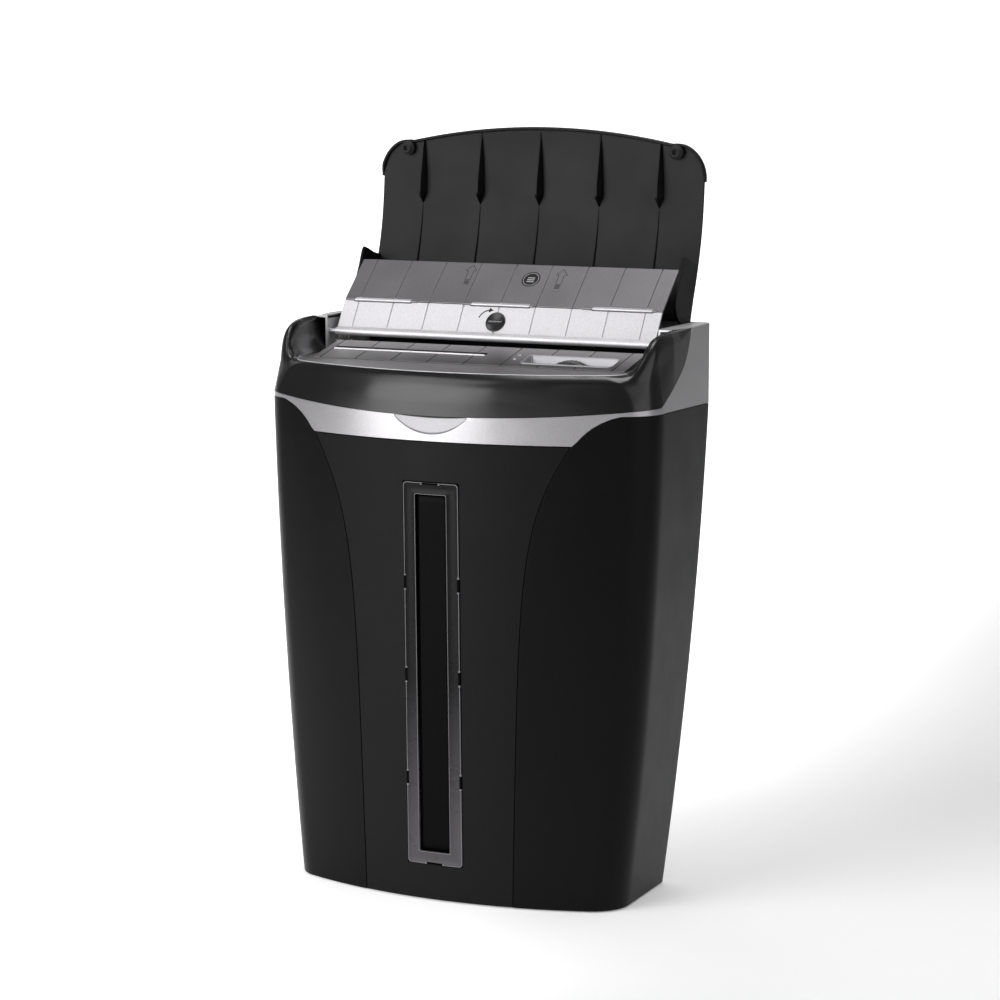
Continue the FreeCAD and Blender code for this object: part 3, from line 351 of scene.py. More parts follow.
def lathe(bm, profile, origin, axis, segments=48):
    """Turn (radius, distance along axis) points round an axis."""
    axis = Vector(axis).normalized()
    side = axis.orthogonal().normalized()
    other = axis.cross(side)
    rings = []
    for radius, dist in profile:
        centre = Vector(origin) + axis * dist
        turn = arc(0, 360, segments)[:-1] if radius > 1e-6 else [(0.0, 0.0)]
        rings.append([bm.verts.new((centre + (side * c + other * s) * radius) * MM) for c, s in turn])
    for first, second in zip(rings, rings[1:]):
        for i in range(segments):
            k = (i + 1) % segments
            corners = [first[i], first[k]] if len(first) > 1 else [first[0]]
            bm.faces.new(corners + ([second[k], second[i]] if len(second) > 1 else [second[0]]))


def piece(name, bm, mat, body, slot, *nodes, outward=None, smooth=True, thick=None, soft=None):
    """One named piece: mesh, thickness, softened edges, material, body and the nodes it replaces. The slot
    argument is not used.
    """
    obj = mesh_object(name, bm, smooth, outward)
    if thick:
        thicken(obj, thick)
    if soft:
        soften(obj, *soft)
    obj.data.materials.append(M[mat])
    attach(obj, body)
    if nodes:
        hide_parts(*nodes)


# ---- materials ----
def feed(tree, node, inputs):
    """Link each input that is given a socket; any other input gets the value."""
    for key, value in inputs.items():
        if isinstance(value, bpy.types.NodeSocket):
            tree.links.new(value, node.inputs[key])
        else:
            node.inputs[key].default_value = value


def add_node(tree, kind, inputs, **settings):
    node = tree.nodes.new("ShaderNode" + kind)
    for key, value in settings.items():
        setattr(node, key, value)
    feed(tree, node, inputs)
    return node


def object_coords(tree):
    return add_node(tree, "TexCoord", {}).outputs["Object"]


def material(name):
    mat = bpy.data.materials.new(name)
    mat.use_nodes = True
    tree = mat.node_tree
    return mat, tree, tree.nodes["Principled BSDF"], object_coords(tree)


def noise(tree, coords, scale, detail=2.0, rough=0.5):
    inputs = {"Vector": coords, "Scale": scale, "Detail": detail, "Roughness": rough, "Distortion": 0.0}
    return add_node(tree, "TexNoise", inputs).outputs["Fac"]


def two_tone(tree, source, colour, dark, pale, at=(0.3, 0.7)):
    """The colour scaled from dark to pale between two levels of the source."""
    node = add_node(tree, "ValToRGB", {"Fac": source})
    for element, position, factor in zip(node.color_ramp.elements, at, (dark, pale)):
        element.position = position
        element.color = (*(c * factor for c in colour), 1.0)
    return node.outputs["Color"]


def value_map(tree, source, to_low, to_high, low=0.3, high=0.7, way="LINEAR"):
    inputs = {"Value": source, "From Min": low, "From Max": high, "To Min": to_low, "To Max": to_high}
    return add_node(tree, "MapRange", inputs, interpolation_type=way).outputs["Result"]


def bump(tree, height, strength, distance_mm):
    inputs = {"Height": height, "Strength": strength, "Distance": distance_mm * MM}
    return add_node(tree, "Bump", inputs).outputs["Normal"]


def faded(tree, shade, coords, axis, fade):
    """Scale a colour along one axis, painting light and shade into it: two positions in millimetres, then
    the factor at each.
    """
    split = add_node(tree, "SeparateXYZ", {"Vector": coords})
    factor = value_map(tree, split.outputs[axis], fade[2], fade[3], fade[0] * MM, fade[1] * MM)
    return add_node(tree, "VectorMath", {0: shade, "Scale": factor}, operation="SCALE").outputs["Vector"]


def moulded(name, colour, rough, grain_mm=0.6, depth_mm=0.03, vary=0.12, spec=0.5, rough_vary=0.05):
    """Moulded plastic: fine tool texture, faint drift of colour and gloss."""
    mat, tree, bsdf, coords = material(name)
    broad = noise(tree, coords, 18.0, 3.0, 0.6)
    fine = noise(tree, coords, 1000.0 / grain_mm, 2.0, 0.6)
    feed(tree, bsdf, {"Base Color": two_tone(tree, broad, colour, 1 - vary, 1 + vary),
                      "Roughness": value_map(tree, broad, rough - rough_vary, rough + rough_vary),
                      "Specular IOR Level": spec, "Normal": bump(tree, fine, 0.6, depth_mm)})
    return mat


def metallic_paint(name, colour, rough, metal=0.75, flake=0.10, coat=0.25, grain_mm=0.25, vary=0.05,
                   fade=None):
    """Silver paint on plastic: fine flakes that vary the tone, a smooth clear coat, and a fade along y that
    paints shading into the colour.
    """
    mat, tree, bsdf, coords = material(name)
    broad = noise(tree, coords, 25.0)
    flakes = noise(tree, coords, 1000.0 / grain_mm, 1.0)
    tones = {"Factor": 0.5, "A": two_tone(tree, flakes, colour, 1 - flake, 1 + flake, (0.35, 0.65)),
             "B": two_tone(tree, broad, colour, 1 - vary, 1 + vary)}
    shade = add_node(tree, "Mix", tones, data_type="RGBA").outputs["Result"]
    if fade:
        shade = faded(tree, shade, coords, "Y", fade)
    feed(tree, bsdf, {"Base Color": shade, "Metallic": metal, "Coat Weight": coat, "Coat Roughness": 0.12,
                      "Roughness": value_map(tree, broad, rough - 0.03, rough + 0.03),
                      "Normal": bump(tree, flakes, 0.25, 0.01)})
    return mat


def brushed(name, colour, rough, stretch=40.0):
    """Turned or brushed metal: streaks along x."""
    mat, tree, bsdf, coords = material(name)
    mapping = add_node(tree, "Mapping", {"Scale": (1.0, stretch, stretch), "Vector": coords})
    streak = noise(tree, mapping.outputs["Vector"], 60.0, 3.0, 0.6)
    feed(tree, bsdf, {"Base Color": two_tone(tree, streak, colour, 0.85, 1.1), "Metallic": 1.0,
                      "Roughness": value_map(tree, streak, rough - 0.06, rough + 0.08),
                      "Normal": bump(tree, streak, 0.3, 0.01)})
    return mat


def smoked_clear(name, colour, rough, transmission, spec=0.5, fade=None):
    """Tinted clear plastic with faint flow marks; a fade along z, when given, paints light into the colour,
    paler towards one end.
    """
    mat, tree, bsdf, coords = material(name)
    flow = noise(tree, coords, 90.0)
    shade = two_tone(tree, flow, colour, 0.95, 1.05, (0.2, 0.8))
    if fade:
        shade = faded(tree, shade, coords, "Z", fade)
    feed(tree, bsdf, {"Base Color": shade, "Transmission Weight": transmission, "IOR": 1.5,
                      "Specular IOR Level": spec, "Roughness": value_map(tree, flow, rough, rough + 0.06),
                      "Normal": bump(tree, flow, 0.06, 0.02)})
    return mat


M = {
    "bin": moulded("bin_satin_black", (0.0026, 0.0026, 0.0029), 0.34, 0.5, 0.012, 0.08, 0.10, 0.03),
    "panel": moulded("panel_spark_black", (0.0024, 0.0024, 0.0027), 0.50, 0.9, 0.07, 0.10, 0.14),
    "fascia": moulded("fascia_satin_black", (0.0034, 0.0034, 0.0038), 0.25, 0.5, 0.006, 0.06, 0.56, 0.03),
    "lid": moulded("lid_satin_black", (0.0042, 0.0042, 0.0048), 0.40, 0.6, 0.012, 0.10, 0.16),
    "silver": metallic_paint("band_silver", (0.43, 0.42, 0.435), 0.32, 0.80, 0.16, 0.15, 0.8),
    "ledge": metallic_paint("ledge_silver", (0.30, 0.295, 0.30), 0.55, 0.30, 0.16, 0.0, 0.8),
    "liner": metallic_paint("liner_silver", (0.55, 0.54, 0.55), 0.40, 0.35, 0.14, 0.1, 0.8),
    "deck": metallic_paint("deck_grey", (0.128, 0.122, 0.126), 0.40, 0.55, 0.16, 0.05, 0.8),
    # the inlay's colour is painted darker at the front and paler towards the rear: painted shading
    "inlay": metallic_paint("inlay_gloss_grey", (0.120, 0.115, 0.119), 0.36, 0.55, 0.14, 0.05, 0.8, 0.05,
                            (-12.0, 26.0, 0.55, 2.0)),
    "plate": metallic_paint("plate_bright_silver", (0.58, 0.57, 0.59), 0.42, 0.55, 0.16, 0.1, 0.9),
    # the thumb scoop's silver is darker than the band's: painted shade in the hollow
    "scoop": metallic_paint("scoop_painted_shade_silver", (0.27, 0.265, 0.275), 0.40, 0.70, 0.14, 0.1, 0.8),
    "plate_grey": metallic_paint("plate_grey", (0.178, 0.171, 0.180), 0.40, 0.60, 0.14, 0.1, 0.9),
    "well": metallic_paint("well_silver", (0.30, 0.295, 0.31), 0.40, 0.60, 0.10, 0.1),
    "rod": brushed("rod_bright", (0.78, 0.78, 0.80), 0.22),
    "steel": brushed("machined_steel", (0.50, 0.50, 0.51), 0.32),
    "brass": brushed("bush_bronze", (0.50, 0.34, 0.16), 0.38),
    "can": brushed("motor_can", (0.33, 0.33, 0.35), 0.35, 20.0),
    "knob": moulded("knob_black", (0.010, 0.010, 0.012), 0.34, 0.4, 0.02, 0.12, 0.45),
    "rubber": moulded("rubber_black", (0.014, 0.014, 0.014), 0.75, 0.8, 0.06, 0.15, 0.3),
    "inner": moulded("inner_black", (0.004, 0.004, 0.004), 0.6, 0.9, 0.05, 0.12, 0.2),
    "nylon": moulded("nylon_natural", (0.55, 0.54, 0.50), 0.5, 0.8, 0.02),
    "board": moulded("board_green", (0.02, 0.12, 0.05), 0.4, 1.2, 0.02),
    "mark": moulded("print_dark", (0.012, 0.0115, 0.012), 0.6, 0.4, 0.003, 0.1, 0.2),
    "print_light": moulded("print_light", (0.30, 0.295, 0.305), 0.5, 0.4, 0.005),
    "gap": moulded("shadow_gap", (0.002, 0.002, 0.002), 0.8, 0.5, 0.01, 0.1, 0.03),
    "frame_edge_highlight": moulded("window_edge_painted_highlight", (0.15, 0.146, 0.158), 0.4, 0.5, 0.002, 0.2),
    # the frame's colour is painted paler towards the bottom: painted light
    "frame": smoked_clear("window_frame_smoke", (0.0062, 0.0058, 0.0064), 0.26, 0.04, 0.11,
                          (50, 195, 12.5, 1.0)),
    "pane": smoked_clear("window_pane_smoke", (0.0010, 0.0010, 0.0011), 0.40, 0.02, 0.04),
    "lens": smoked_clear("led_lens", (0.8, 0.8, 0.8), 0.15, 0.5),
}


# ---- bin ----
BIN_FOOT = 1.0
SEAM_GAP = 0.4
BACK_START_X = 116.0
NOTCH_HEIGHTS, NOTCH_HALF, NOTCH_WIDE = (107.4, 197.7, 278.0), 5.6, 7.6
# window sections: distance in from the rim, depth into the wall
RING_SECTION = ((0.0, 2.4), (0.0, 0.1), (0.2, -0.35), (0.6, -0.6), (1.2, -0.6), (1.5, -0.35), (9.2, -0.35),
                (9.5, -0.55), (10.0, -0.55), (10.3, -0.3), (10.4, 2.4))
# the two edge sections are pale strips on the frame's edges: painted highlights
OUTER_EDGE_HIGHLIGHT = ((0.15, 0.0), (0.2, -0.72), (0.7, -0.72), (0.75, 0.0))
INNER_EDGE_HIGHLIGHT = ((9.75, 0.0), (9.8, -0.66), (10.2, -0.66), (10.25, 0.0))


def away_from_middle(p):
    return p.x, p.y - 20.0, 0.0


def forward(p):
    return 0, -1, 0


def make_bin():
    outer = bmesh.new()
    rows = []
    for v in spread(0, 1, 40):
        right = []
        for s in stations(14, 14, 8, 8, 6, 10):
            z = BIN_FOOT + (BIN_TOP - BIN_FOOT) * v
            for _ in range(12):
                x, y = casing_plan(z).at(s, seam_x(z) + SEAM_GAP)
                z = BIN_FOOT + (bin_line(x, y) - 0.1 - BIN_FOOT) * v
            right.append((x, y, z))
        rows.append(right + flip(right)[::-1][1:])
    grid_faces(outer, rows)
    piece("bin_casing", outer, "bin", "bin", "bin_black", "bin_shell", outward=away_from_middle, thick=1.9,
          soft=(0.5, 3))

    inner = bmesh.new()
    half, low, high = WINDOW_HALF - 3, WINDOW_LOW + 3, WINDOW_HIGH - 3
    xs = spread(0, half, 4) + spread(half, BACK_START_X, 12)[1:]
    rows = []
    for z in spread(1.2, low, 3) + spread(low, high, 24)[1:] + spread(high, BAND_DIP - 0.6, 4)[1:]:
        plan = casing_plan(z, 1.9)
        right = [(x, plan.bow_y(x), z) for x in xs]
        right += [(*plan.at(s, BACK_START_X), z) for s in stations(8, 10, 6, 6, 5, 8)[1:]]
        rows.append(right + flip(right)[::-1][1:-1])
    grid_faces(inner, rows, closed=True)
    drop_cells(inner, (-half, half), (-200, 0), (low, high))
    piece("bin_lining", inner, "inner", "bin", "inner_black", outward=away_from_middle, thick=1.2)

    base = bmesh.new()
    right = [casing_plan(BIN_FOOT, 1.2).at(s) for s in stations(12, 10, 4, 4, 5, 2)]
    prism_mesh(base, right + flip(right)[::-1][1:-1], BIN_FOOT, 4.0)
    piece("bin_floor", base, "bin", "bin", "bin_black", smooth=False, soft=(0.6, 3))


def make_panel():
    """Textured centre panel, open for the window."""
    bm = bmesh.new()
    half, low, high = WINDOW_HALF + 0.4, WINDOW_LOW - 0.4, WINDOW_HIGH + 0.4
    rows = []
    for z in spread(1.2, low, 5) + spread(low, high, 36)[1:] + spread(high, BAND_DIP - 0.3, 8)[1:]:
        plan = casing_plan(z, 0.15)
        edge = seam_x(z) - 0.1
        xs = spread(-edge, -half, 14) + spread(-half, half, 8)[1:] + spread(half, edge, 14)[1:]
        rows.append([(x, plan.bow_y(x), z) for x in xs])
    grid_faces(bm, rows)
    drop_cells(bm, (-half, half), EVERYWHERE, (low, high))
    piece("front_panel_skin", bm, "panel", "bin", "textured_black", "front_panel", outward=forward,
          thick=1.6, soft=(0.55, 3))


def rounded_rect(half_x, low, high, radius, n=6):
    """Outline of a rounded rectangle in x,z, counter-clockwise from the lower right."""
    x, z0, z1 = half_x - radius, low + radius, high - radius
    out = []
    for cx, cz, start in ((x, z0, -90), (x, z1, 0), (-x, z1, 90), (-x, z0, 180)):
        out += arc(start, start + 90, n, radius, radius, cx, cz)
    return out


def frame_ring(name, mat, section, *nodes):
    """Ring round the window opening that follows the bowed front."""
    rings = []
    for move, depth in section:
        outline = rounded_rect(WINDOW_HALF - move * 1.105, WINDOW_LOW + move * 1.075, WINDOW_HIGH - move,
                               max(3.0 - move * 0.15, 1.2))
        ring = []
        for (x0, z0), (x1, z1) in zip(outline, outline[1:] + outline[:1]):
            n = 40 if abs(z1 - z0) > 100 else (8 if abs(x1 - x0) > 10 else 1)
            ring += [(x0 + (x1 - x0) * i / n, z0 + (z1 - z0) * i / n) for i in range(n)]
        rings.append([(x, casing_plan(z, depth).bow_y(x), z) for x, z in ring])
    bm = bmesh.new()
    grid_faces(bm, rings + [rings[0]], closed=True)
    weld(bm)
    piece(name, bm, mat, "bin", "clear_frame", *nodes)


def make_window():
    """Smoked clear frame with pale strips on its two edges as painted highlights, the clips that hold it
    with pale ends as painted highlights, and the dark pane.
    """
    frame_ring("window_frame_ring", "frame", RING_SECTION, "window_frame")
    frame_ring("window_outer_edge_highlight", "frame_edge_highlight", OUTER_EDGE_HIGHLIGHT)
    frame_ring("window_inner_edge_highlight", "frame_edge_highlight", INNER_EDGE_HIGHLIGHT)

    notch, lug = bmesh.new(), bmesh.new()
    for z in NOTCH_HEIGHTS:
        for side, _ in SIDES:
            x = side * (WINDOW_HALF - 0.75)
            y = casing_plan(z).bow_y(x)
            block(notch, (x - 0.95, x + 0.95), (y - 0.85, y + 1.2), (z - NOTCH_HALF, z + NOTCH_HALF))
            for end in (z - NOTCH_HALF - 0.7, z + NOTCH_HALF + 0.7):
                block(lug, (x - 0.8, x + 0.9), (y - 0.95, y + 1.0), (end - 0.75, end + 0.75))
    for z in (WINDOW_LOW + 1.0, WINDOW_HIGH - 1.0):
        y = casing_plan(z).bow_y(0)
        block(notch, (-NOTCH_WIDE, NOTCH_WIDE), (y - 0.85, y + 1.2), (z - 0.8, z + 0.8))
        for end in (-NOTCH_WIDE - 0.7, NOTCH_WIDE + 0.7):
            block(lug, (end - 0.75, end + 0.75), (y - 0.95, y + 1.0), (z - 0.9, z + 0.9))
    # pale ends of the clips: painted highlights
    piece("window_clip_ends", lug, "frame_edge_highlight", "bin", "clear_frame", smooth=False, soft=(0.25, 2))
    piece("window_clips", notch, "gap", "bin", "inner_black", smooth=False, soft=(0.25, 2))

    pane = bmesh.new()
    rows = []
    for z in spread(PANE_LOW - 3, PANE_HIGH + 3, 30):
        plan = casing_plan(z, 2.2)
        rows.append([(x, plan.bow_y(x), z) for x in spread(-PANE_HALF - 2, PANE_HALF + 2, 6)])
    grid_faces(pane, rows)
    piece("window_pane_strip", pane, "pane", "bin", "smoked_pane", "window_pane", outward=forward, thick=0.7)


make_bin()
make_panel()
make_window()


# ---- silver housing ----
FRONT_X = 118.0
SCOOP_HALF, SCOOP_R, SCOOP_Z = 34.0, 47.0, FASCIA_Z + 31.5
SCOOP_STEPS = 24
BELOW_SCOOP = 8
LEDGE_ROUND = 1.6
LEDGE_REAR_Y = 112.0
WING_REAR_Y, INSET_END_Y, TAIL_END_Y = 68.4, 68.5, 68.0


def scoop_line(x):
    """Lower edge of the thumb scoop."""
    return SCOOP_Z - math.sqrt(SCOOP_R ** 2 - x * x) if abs(x) < SCOOP_HALF + 0.9 else 1e9


def band_point(place, share, by_x):
    """A point on the band between its lower edge (0) and its upper edge (1), by its x or its station."""
    z = 415.0
    for _ in range(14):
        plan = casing_plan(z)
        x, y = (place, plan.bow_y(place)) if by_x else plan.at(place, FRONT_X)
        low = bin_line(x, y) + 0.4
        high = min(fascia_line(x, y), HEAD_TOP - LEDGE_ROUND)
        z = low + (high - low) * share
    return x, y, z, low


def make_housing():
    bm = bmesh.new()
    columns = []
    for x in spread(0, SCOOP_HALF, SCOOP_STEPS) + spread(SCOOP_HALF, FRONT_X, 20)[1:]:
        _, _, top, low = band_point(x, 1.0, True)
        cut = min(scoop_line(x), top)
        column = [(x, casing_plan(z).bow_y(x), z) for z in spread(low, cut, BELOW_SCOOP)]
        room = top - cut
        edge = min(0.35, room * 0.2)
        for z in spread(cut + edge, cut + edge + (room - edge), BELOW_SCOOP - 1):
            depth = min(0.35 + 2.8 * (z - cut) / 15.0, room * 0.35)
            column.append((x, casing_plan(z, depth).bow_y(x), z))
        columns.append(column)
    for s in stations(12, 22, 20, 26, 6, 12)[1:]:
        columns.append([band_point(s, share, False)[:3] for share in spread(0, 1, 2 * BELOW_SCOOP)])
    grid = flip_columns(columns)[:-1] + columns
    middle = len(columns) - 1
    verts = grid_faces(bm, grid)
    for i in range(middle - SCOOP_STEPS, middle + SCOOP_STEPS):
        for j in range(BELOW_SCOOP + 1, 2 * BELOW_SCOOP):
            corners = [verts[i][j], verts[i + 1][j], verts[i + 1][j + 1], verts[i][j + 1]]
            bm.faces.remove(bm.faces.get(corners))
    bmesh.ops.delete(bm, geom=[v for v in bm.verts if not v.link_faces], context="VERTS")
    weld(bm, 0.02)
    piece("head_band", bm, "silver", "head", "band_silver", "head_housing", outward=away_from_middle,
          thick=2.4, soft=(0.5, 3, 62))

    # the scoop's hollow takes the darker silver, painted shade
    hollow = bmesh.new()
    grid_faces(hollow, [c[BELOW_SCOOP + 1:] for c in grid[middle - SCOOP_STEPS:middle + SCOOP_STEPS + 1]])
    weld(hollow, 0.02)
    piece("thumb_scoop", hollow, "scoop", "head", "band_silver", outward=away_from_middle, thick=2.2)


def black_inset(y):
    """How far the black wing's top reaches in from the outer wall."""
    t = (y - CHEEK_Y) / (INSET_END_Y - CHEEK_Y)
    return 9.5 * (1 - t) ** 1.2 + 0.6


def make_ledge():
    """Top of the silver housing: cheek tops and the rear ledge, with a rounded outer edge."""
    bm = bmesh.new()
    rows = []
    for s in [s for s in stations(2, 2, 2, 40, 8, 16) if s >= 2.5]:
        x, y = casing_plan(HEAD_TOP - LEDGE_ROUND).at(s)
        if y < WING_REAR_Y:
            edge = casing_plan(HEAD_TOP - 1.0, black_inset(y)).at(s)[0]
            section = [(edge, y, HEAD_TOP - 2.6)] + [(edge, y, HEAD_TOP - 0.4)] * 4
            section.append((edge - 0.4, y, HEAD_TOP))
        else:
            section = []
            for c, h in arc(0, 90, 5, LEDGE_ROUND):
                px, py = casing_plan(HEAD_TOP - LEDGE_ROUND, LEDGE_ROUND - c).at(s)
                section.append((px, py, HEAD_TOP - LEDGE_ROUND + h))
        ox, oy, _ = section[-1]
        ix = min(abs(x), CHEEK_X)
        iy = LEDGE_REAR_Y if y >= LEDGE_REAR_Y else oy
        for f in (0.5, 1.0):
            section.append((ox + (ix - ox) * f, oy + (iy - oy) * f, HEAD_TOP))
        rows.append(section + [(ix, iy, HEAD_TOP - 2.6)])
    grid_faces(bm, rows + flip_columns(rows)[1:])
    weld(bm, 0.01)
    piece("head_ledge", bm, "ledge", "head", "band_silver", soft=(0.5, 3, 50),
          outward=lambda p: (0.02 * p.x, 0.02 * (p.y - 60), 1.0))


make_housing()
make_ledge()


# ---- fascia and wings ----
FASCIA_LEAN = 6.0
FRONT_PROFILE = [(1 - c, s) for c, s in arc(0, 72, 25)]
FRONT_PROFILE = [(q / FRONT_PROFILE[-1][0], 432.0 + 25.3 * s / FRONT_PROFILE[-1][1])
                 for q, s in FRONT_PROFILE]
WING_PEAK, CREASE, CREASE_Z = 0.25, 0.52, 477.5
WING_PROFILE = [(WING_PEAK * (1 - c), 481.0 + 9.8 * s) for c, s in arc(0, 90, 10)]
WING_PROFILE += [(WING_PEAK + (CREASE - WING_PEAK) * s, CREASE_Z + 13.3 * c) for c, s in arc(0, 90, 8)[1:]]
WING_PROFILE += [(CREASE + (1 - CREASE) * f, CREASE_Z - 19.0 * f - 2.8 * math.sin(math.pi * f))
                 for f in spread(0, 1, 7)[1:]]


def fascia_section(s):
    """Cross-section from the lower edge, up the wall, over the shoulder and down to the deck edge.

    The front profile is one wide rounded shoulder. The wing profile peaks near the outer wall, drops to a
    crease and falls in a hollow facet to the deck. The wing's height blends one into the other."""
    low = 425.0
    for _ in range(10):
        x, y = casing_plan(low).at(s)
        low = fascia_line(x, y) + 0.3
    deck_x, deck_y = deck_plan(-0.15).at(s)
    lift = clamp((wing_z(min(y, 33.2)) - WING_START) / (WING_END - WING_START)) if y > -38 else 0.0
    shape = [(q0 + (q1 - q0) * lift, z0 + (z1 - z0) * lift)
             for (q0, z0), (q1, z1) in zip(FRONT_PROFILE, WING_PROFILE)]
    wall = max(shape[0][1], low + 1.0)
    lean = FASCIA_LEAN * clamp((20.0 - y) / 50.0) * clamp((abs(x) - 60.0) / 80.0)

    def wall_point(z):
        return casing_plan(z, lean * min((z - low) / 26.0, 1.0)).at(s)

    points = [(*wall_point(z), z) for z in spread(low, wall, 8)]
    base = wall_point(wall)
    for q, z in shape[1:]:
        share = min(q * 2.0, 1.0)
        bx, by = [a + (b - a) * share for a, b in zip(wall_point(z), base)]
        points.append((bx + (deck_x - bx) * q, by + (deck_y - by) * q, max(z, low + 1.0)))
    return points + [(deck_x, deck_y, 455.6)]


def tail_section(s, side):
    """Cross-section of the wing's tail, behind the front of the silver cheek; None past its end."""
    top = HEAD_TOP - 0.4
    low = 460.0
    for _ in range(10):
        x, y = casing_plan(low).at(s)
        low = min(fascia_line(x, y) + 0.3, top)
    if y > TAIL_END_Y:
        return None
    inset = black_inset(y) - 0.15
    wall = max(top - min(9.0, inset * 1.2), low)
    points = [(*casing_plan(z).at(s), z) for z in spread(low, wall, 8)]
    for c, h in arc(0, 90, 10)[1:]:
        points.append((*casing_plan(wall, inset * (1 - c)).at(s), wall + (top - wall) * h))
    return [(side * x, y, z) for x, y, z in points]


def make_fascia():
    bm = bmesh.new()
    rows = [fascia_section(s) for s in stations(26, 24, 30, 30, 2, 2) if s <= 2.5]
    grid_faces(bm, flip_columns(rows)[:-1] + rows)
    for side, _ in SIDES:
        sections = [tail_section(s, side) for s in spread(2.5, 3.0, 40)]
        grid_faces(bm, [section for section in sections if section])
    weld(bm, 0.01)
    piece("fascia_skin", bm, "fascia", "head", "fascia_black", "front_fascia", thick=1.2, soft=(0.3, 2, 50),
          outward=lambda p: (p.x * 0.6, p.y - 20.0, (p.z - 440) * 1.5))


make_fascia()


# ---- deck, inlay, switch ----
GROOVES = [GROOVE_PITCH * i for i in range(-4, 5)]
WELL_RIM = 1.5
SLOT_RIM = 3.0
EDGE_HIGHLIGHT_R = 0.42


def deck_height(y):
    return DECK_FRONT_Z + DECK_SLOPE * (y - DECK_FRONT_Y)


def inlay_height(y):
    return INLAY_Z[0] + (INLAY_Z[1] - INLAY_Z[0]) * (y - INLAY_Y[0]) / (INLAY_Y[1] - INLAY_Y[0])


def merged_lines(*groups):
    """Sorted grid lines without near doubles."""
    out = []
    for v in sorted(v for g in groups for v in g):
        if not out or v - out[-1] > 0.05:
            out.append(v)
    return out


def unit_step(points, i):
    """Direction along a chain of 2D points at one of them."""
    (x0, y0), (x1, y1) = points[max(i - 1, 0)], points[min(i + 1, len(points) - 1)]
    length = math.hypot(x1 - x0, y1 - y0)
    return (x1 - x0) / length, (y1 - y0) / length


def make_deck():
    bm = bmesh.new()
    plan = deck_plan(0.35)
    front = [plan.at(s) for s in stations(24, 20, 2, 2, 2, 2) if s <= 2.0]
    front = flip(front)[::-1][:-1] + front
    slot_x, slot_y = [(low - SLOT_RIM, high + SLOT_RIM) for low, high in (SLOT_X, SLOT_Y)]
    well_x, well_y = [(low - WELL_RIM, high + WELL_RIM) for low, high in (WELL_X, WELL_Y)]
    near = {}
    for edge in (*slot_x, *well_x):
        near[min(range(len(front)), key=lambda i: abs(front[i][0] - edge))] = edge
    rows = []
    for v in spread(0, 1, 10):
        row = []
        for i, (x, y) in enumerate(front):
            back_y = y + (-18.0 - y) * v
            row.append((x + (near.get(i, x) - x) * min(v * 1.5, 1.0), back_y, deck_height(back_y)))
        rows.append(row)
    for y in sorted((*well_y, *slot_y)) + [24.0, 32.5]:
        rows.append([(p[0], y, deck_height(y)) for p in rows[10]])
    grid_faces(bm, rows)
    drop_cells(bm, slot_x, slot_y)
    drop_cells(bm, well_x, well_y)
    piece("deck_plate", bm, "deck", "head", "deck_grey", "control_deck", outward=lambda p: (0, 0, 1),
          thick=2.2, soft=(0.7, 4, 50))

    # a bright silver tube along the deck's front edge: a painted highlight
    edge = bmesh.new()
    rows = []
    for i, (x, y) in enumerate(front):
        dx, dy = unit_step(front, i)
        rows.append([(x + dy * (c - 0.2), y - dx * (c - 0.2), deck_height(y) - 0.12 + h)
                     for c, h in arc(0, 360, 10, EDGE_HIGHLIGHT_R)[:-1]])
    loft(edge, rows)
    piece("deck_edge_highlight", edge, "plate", "head", "deck_grey")


def make_inlay():
    bm = bmesh.new()
    xs = merged_lines(INLAY_X, SLOT_X, WELL_X, [g + d for g in GROOVES for d in (-0.65, -0.3, 0.3, 0.65)])
    ys = sorted((*INLAY_Y, *WELL_Y, *SLOT_Y))
    rows = []
    for y in ys:
        rows.append([(x, y, inlay_height(y) - (0.9 if any(abs(x - g) < 0.4 for g in GROOVES) else 0.0))
                     for x in xs])
    skirts = [[(x, y + out, deck_height(y) + 0.05) for x in xs] for y, out in zip(INLAY_Y, (-0.05, 0.05))]
    grid_faces(bm, [skirts[0]] + rows + [skirts[1]])
    for x in INLAY_X:
        grid_faces(bm, [[(x, y, inlay_height(y)) for y in ys], [(x, y, deck_height(y) + 0.05) for y in ys]])
    weld(bm, 0.02)
    drop_cells(bm, SLOT_X, SLOT_Y)
    drop_cells(bm, WELL_X, WELL_Y)
    piece("inlay_tiles", bm, "inlay", "head", "inlay_gloss", "slot_inlay", thick=1.4, soft=(0.45, 3, 30),
          outward=lambda p: (0, (p.y - 6) * 0.02, 0.4) if abs(p.x) < 145 else (p.x, 0, 60))

    throat = bmesh.new()
    ring = [(SLOT_X[0], SLOT_Y[0]), (SLOT_X[1], SLOT_Y[0]), (SLOT_X[1], SLOT_Y[1]), (SLOT_X[0], SLOT_Y[1])]
    rows = [[(x, y, inlay_height(y) - 0.6) for x, y in ring], [(x, y, 452.0) for x, y in ring]]
    grid_faces(throat, rows, closed=True)
    mid_x, mid_y = sum(SLOT_X) / 2, sum(SLOT_Y) / 2
    piece("slot_throat", throat, "gap", "head", "inner_black", smooth=False, thick=0.9,
          outward=lambda p: ((mid_x - p.x) * 0.03, mid_y - p.y, 0))

    # a bright silver bar along the slot's front edge: a painted highlight
    lip = bmesh.new()
    y, z = SLOT_Y[0], inlay_height(SLOT_Y[0])
    section = arc(0, 180, 8, 0.75, 0.7, y - 0.75, z + 0.1) + [(y - 1.5, z - 0.8), (y, z - 0.8)]
    prism_mesh(lip, section, *SLOT_X, "x")
    piece("slot_lip_highlight", lip, "plate", "head", "inlay_gloss", soft=(0.2, 2, 50))


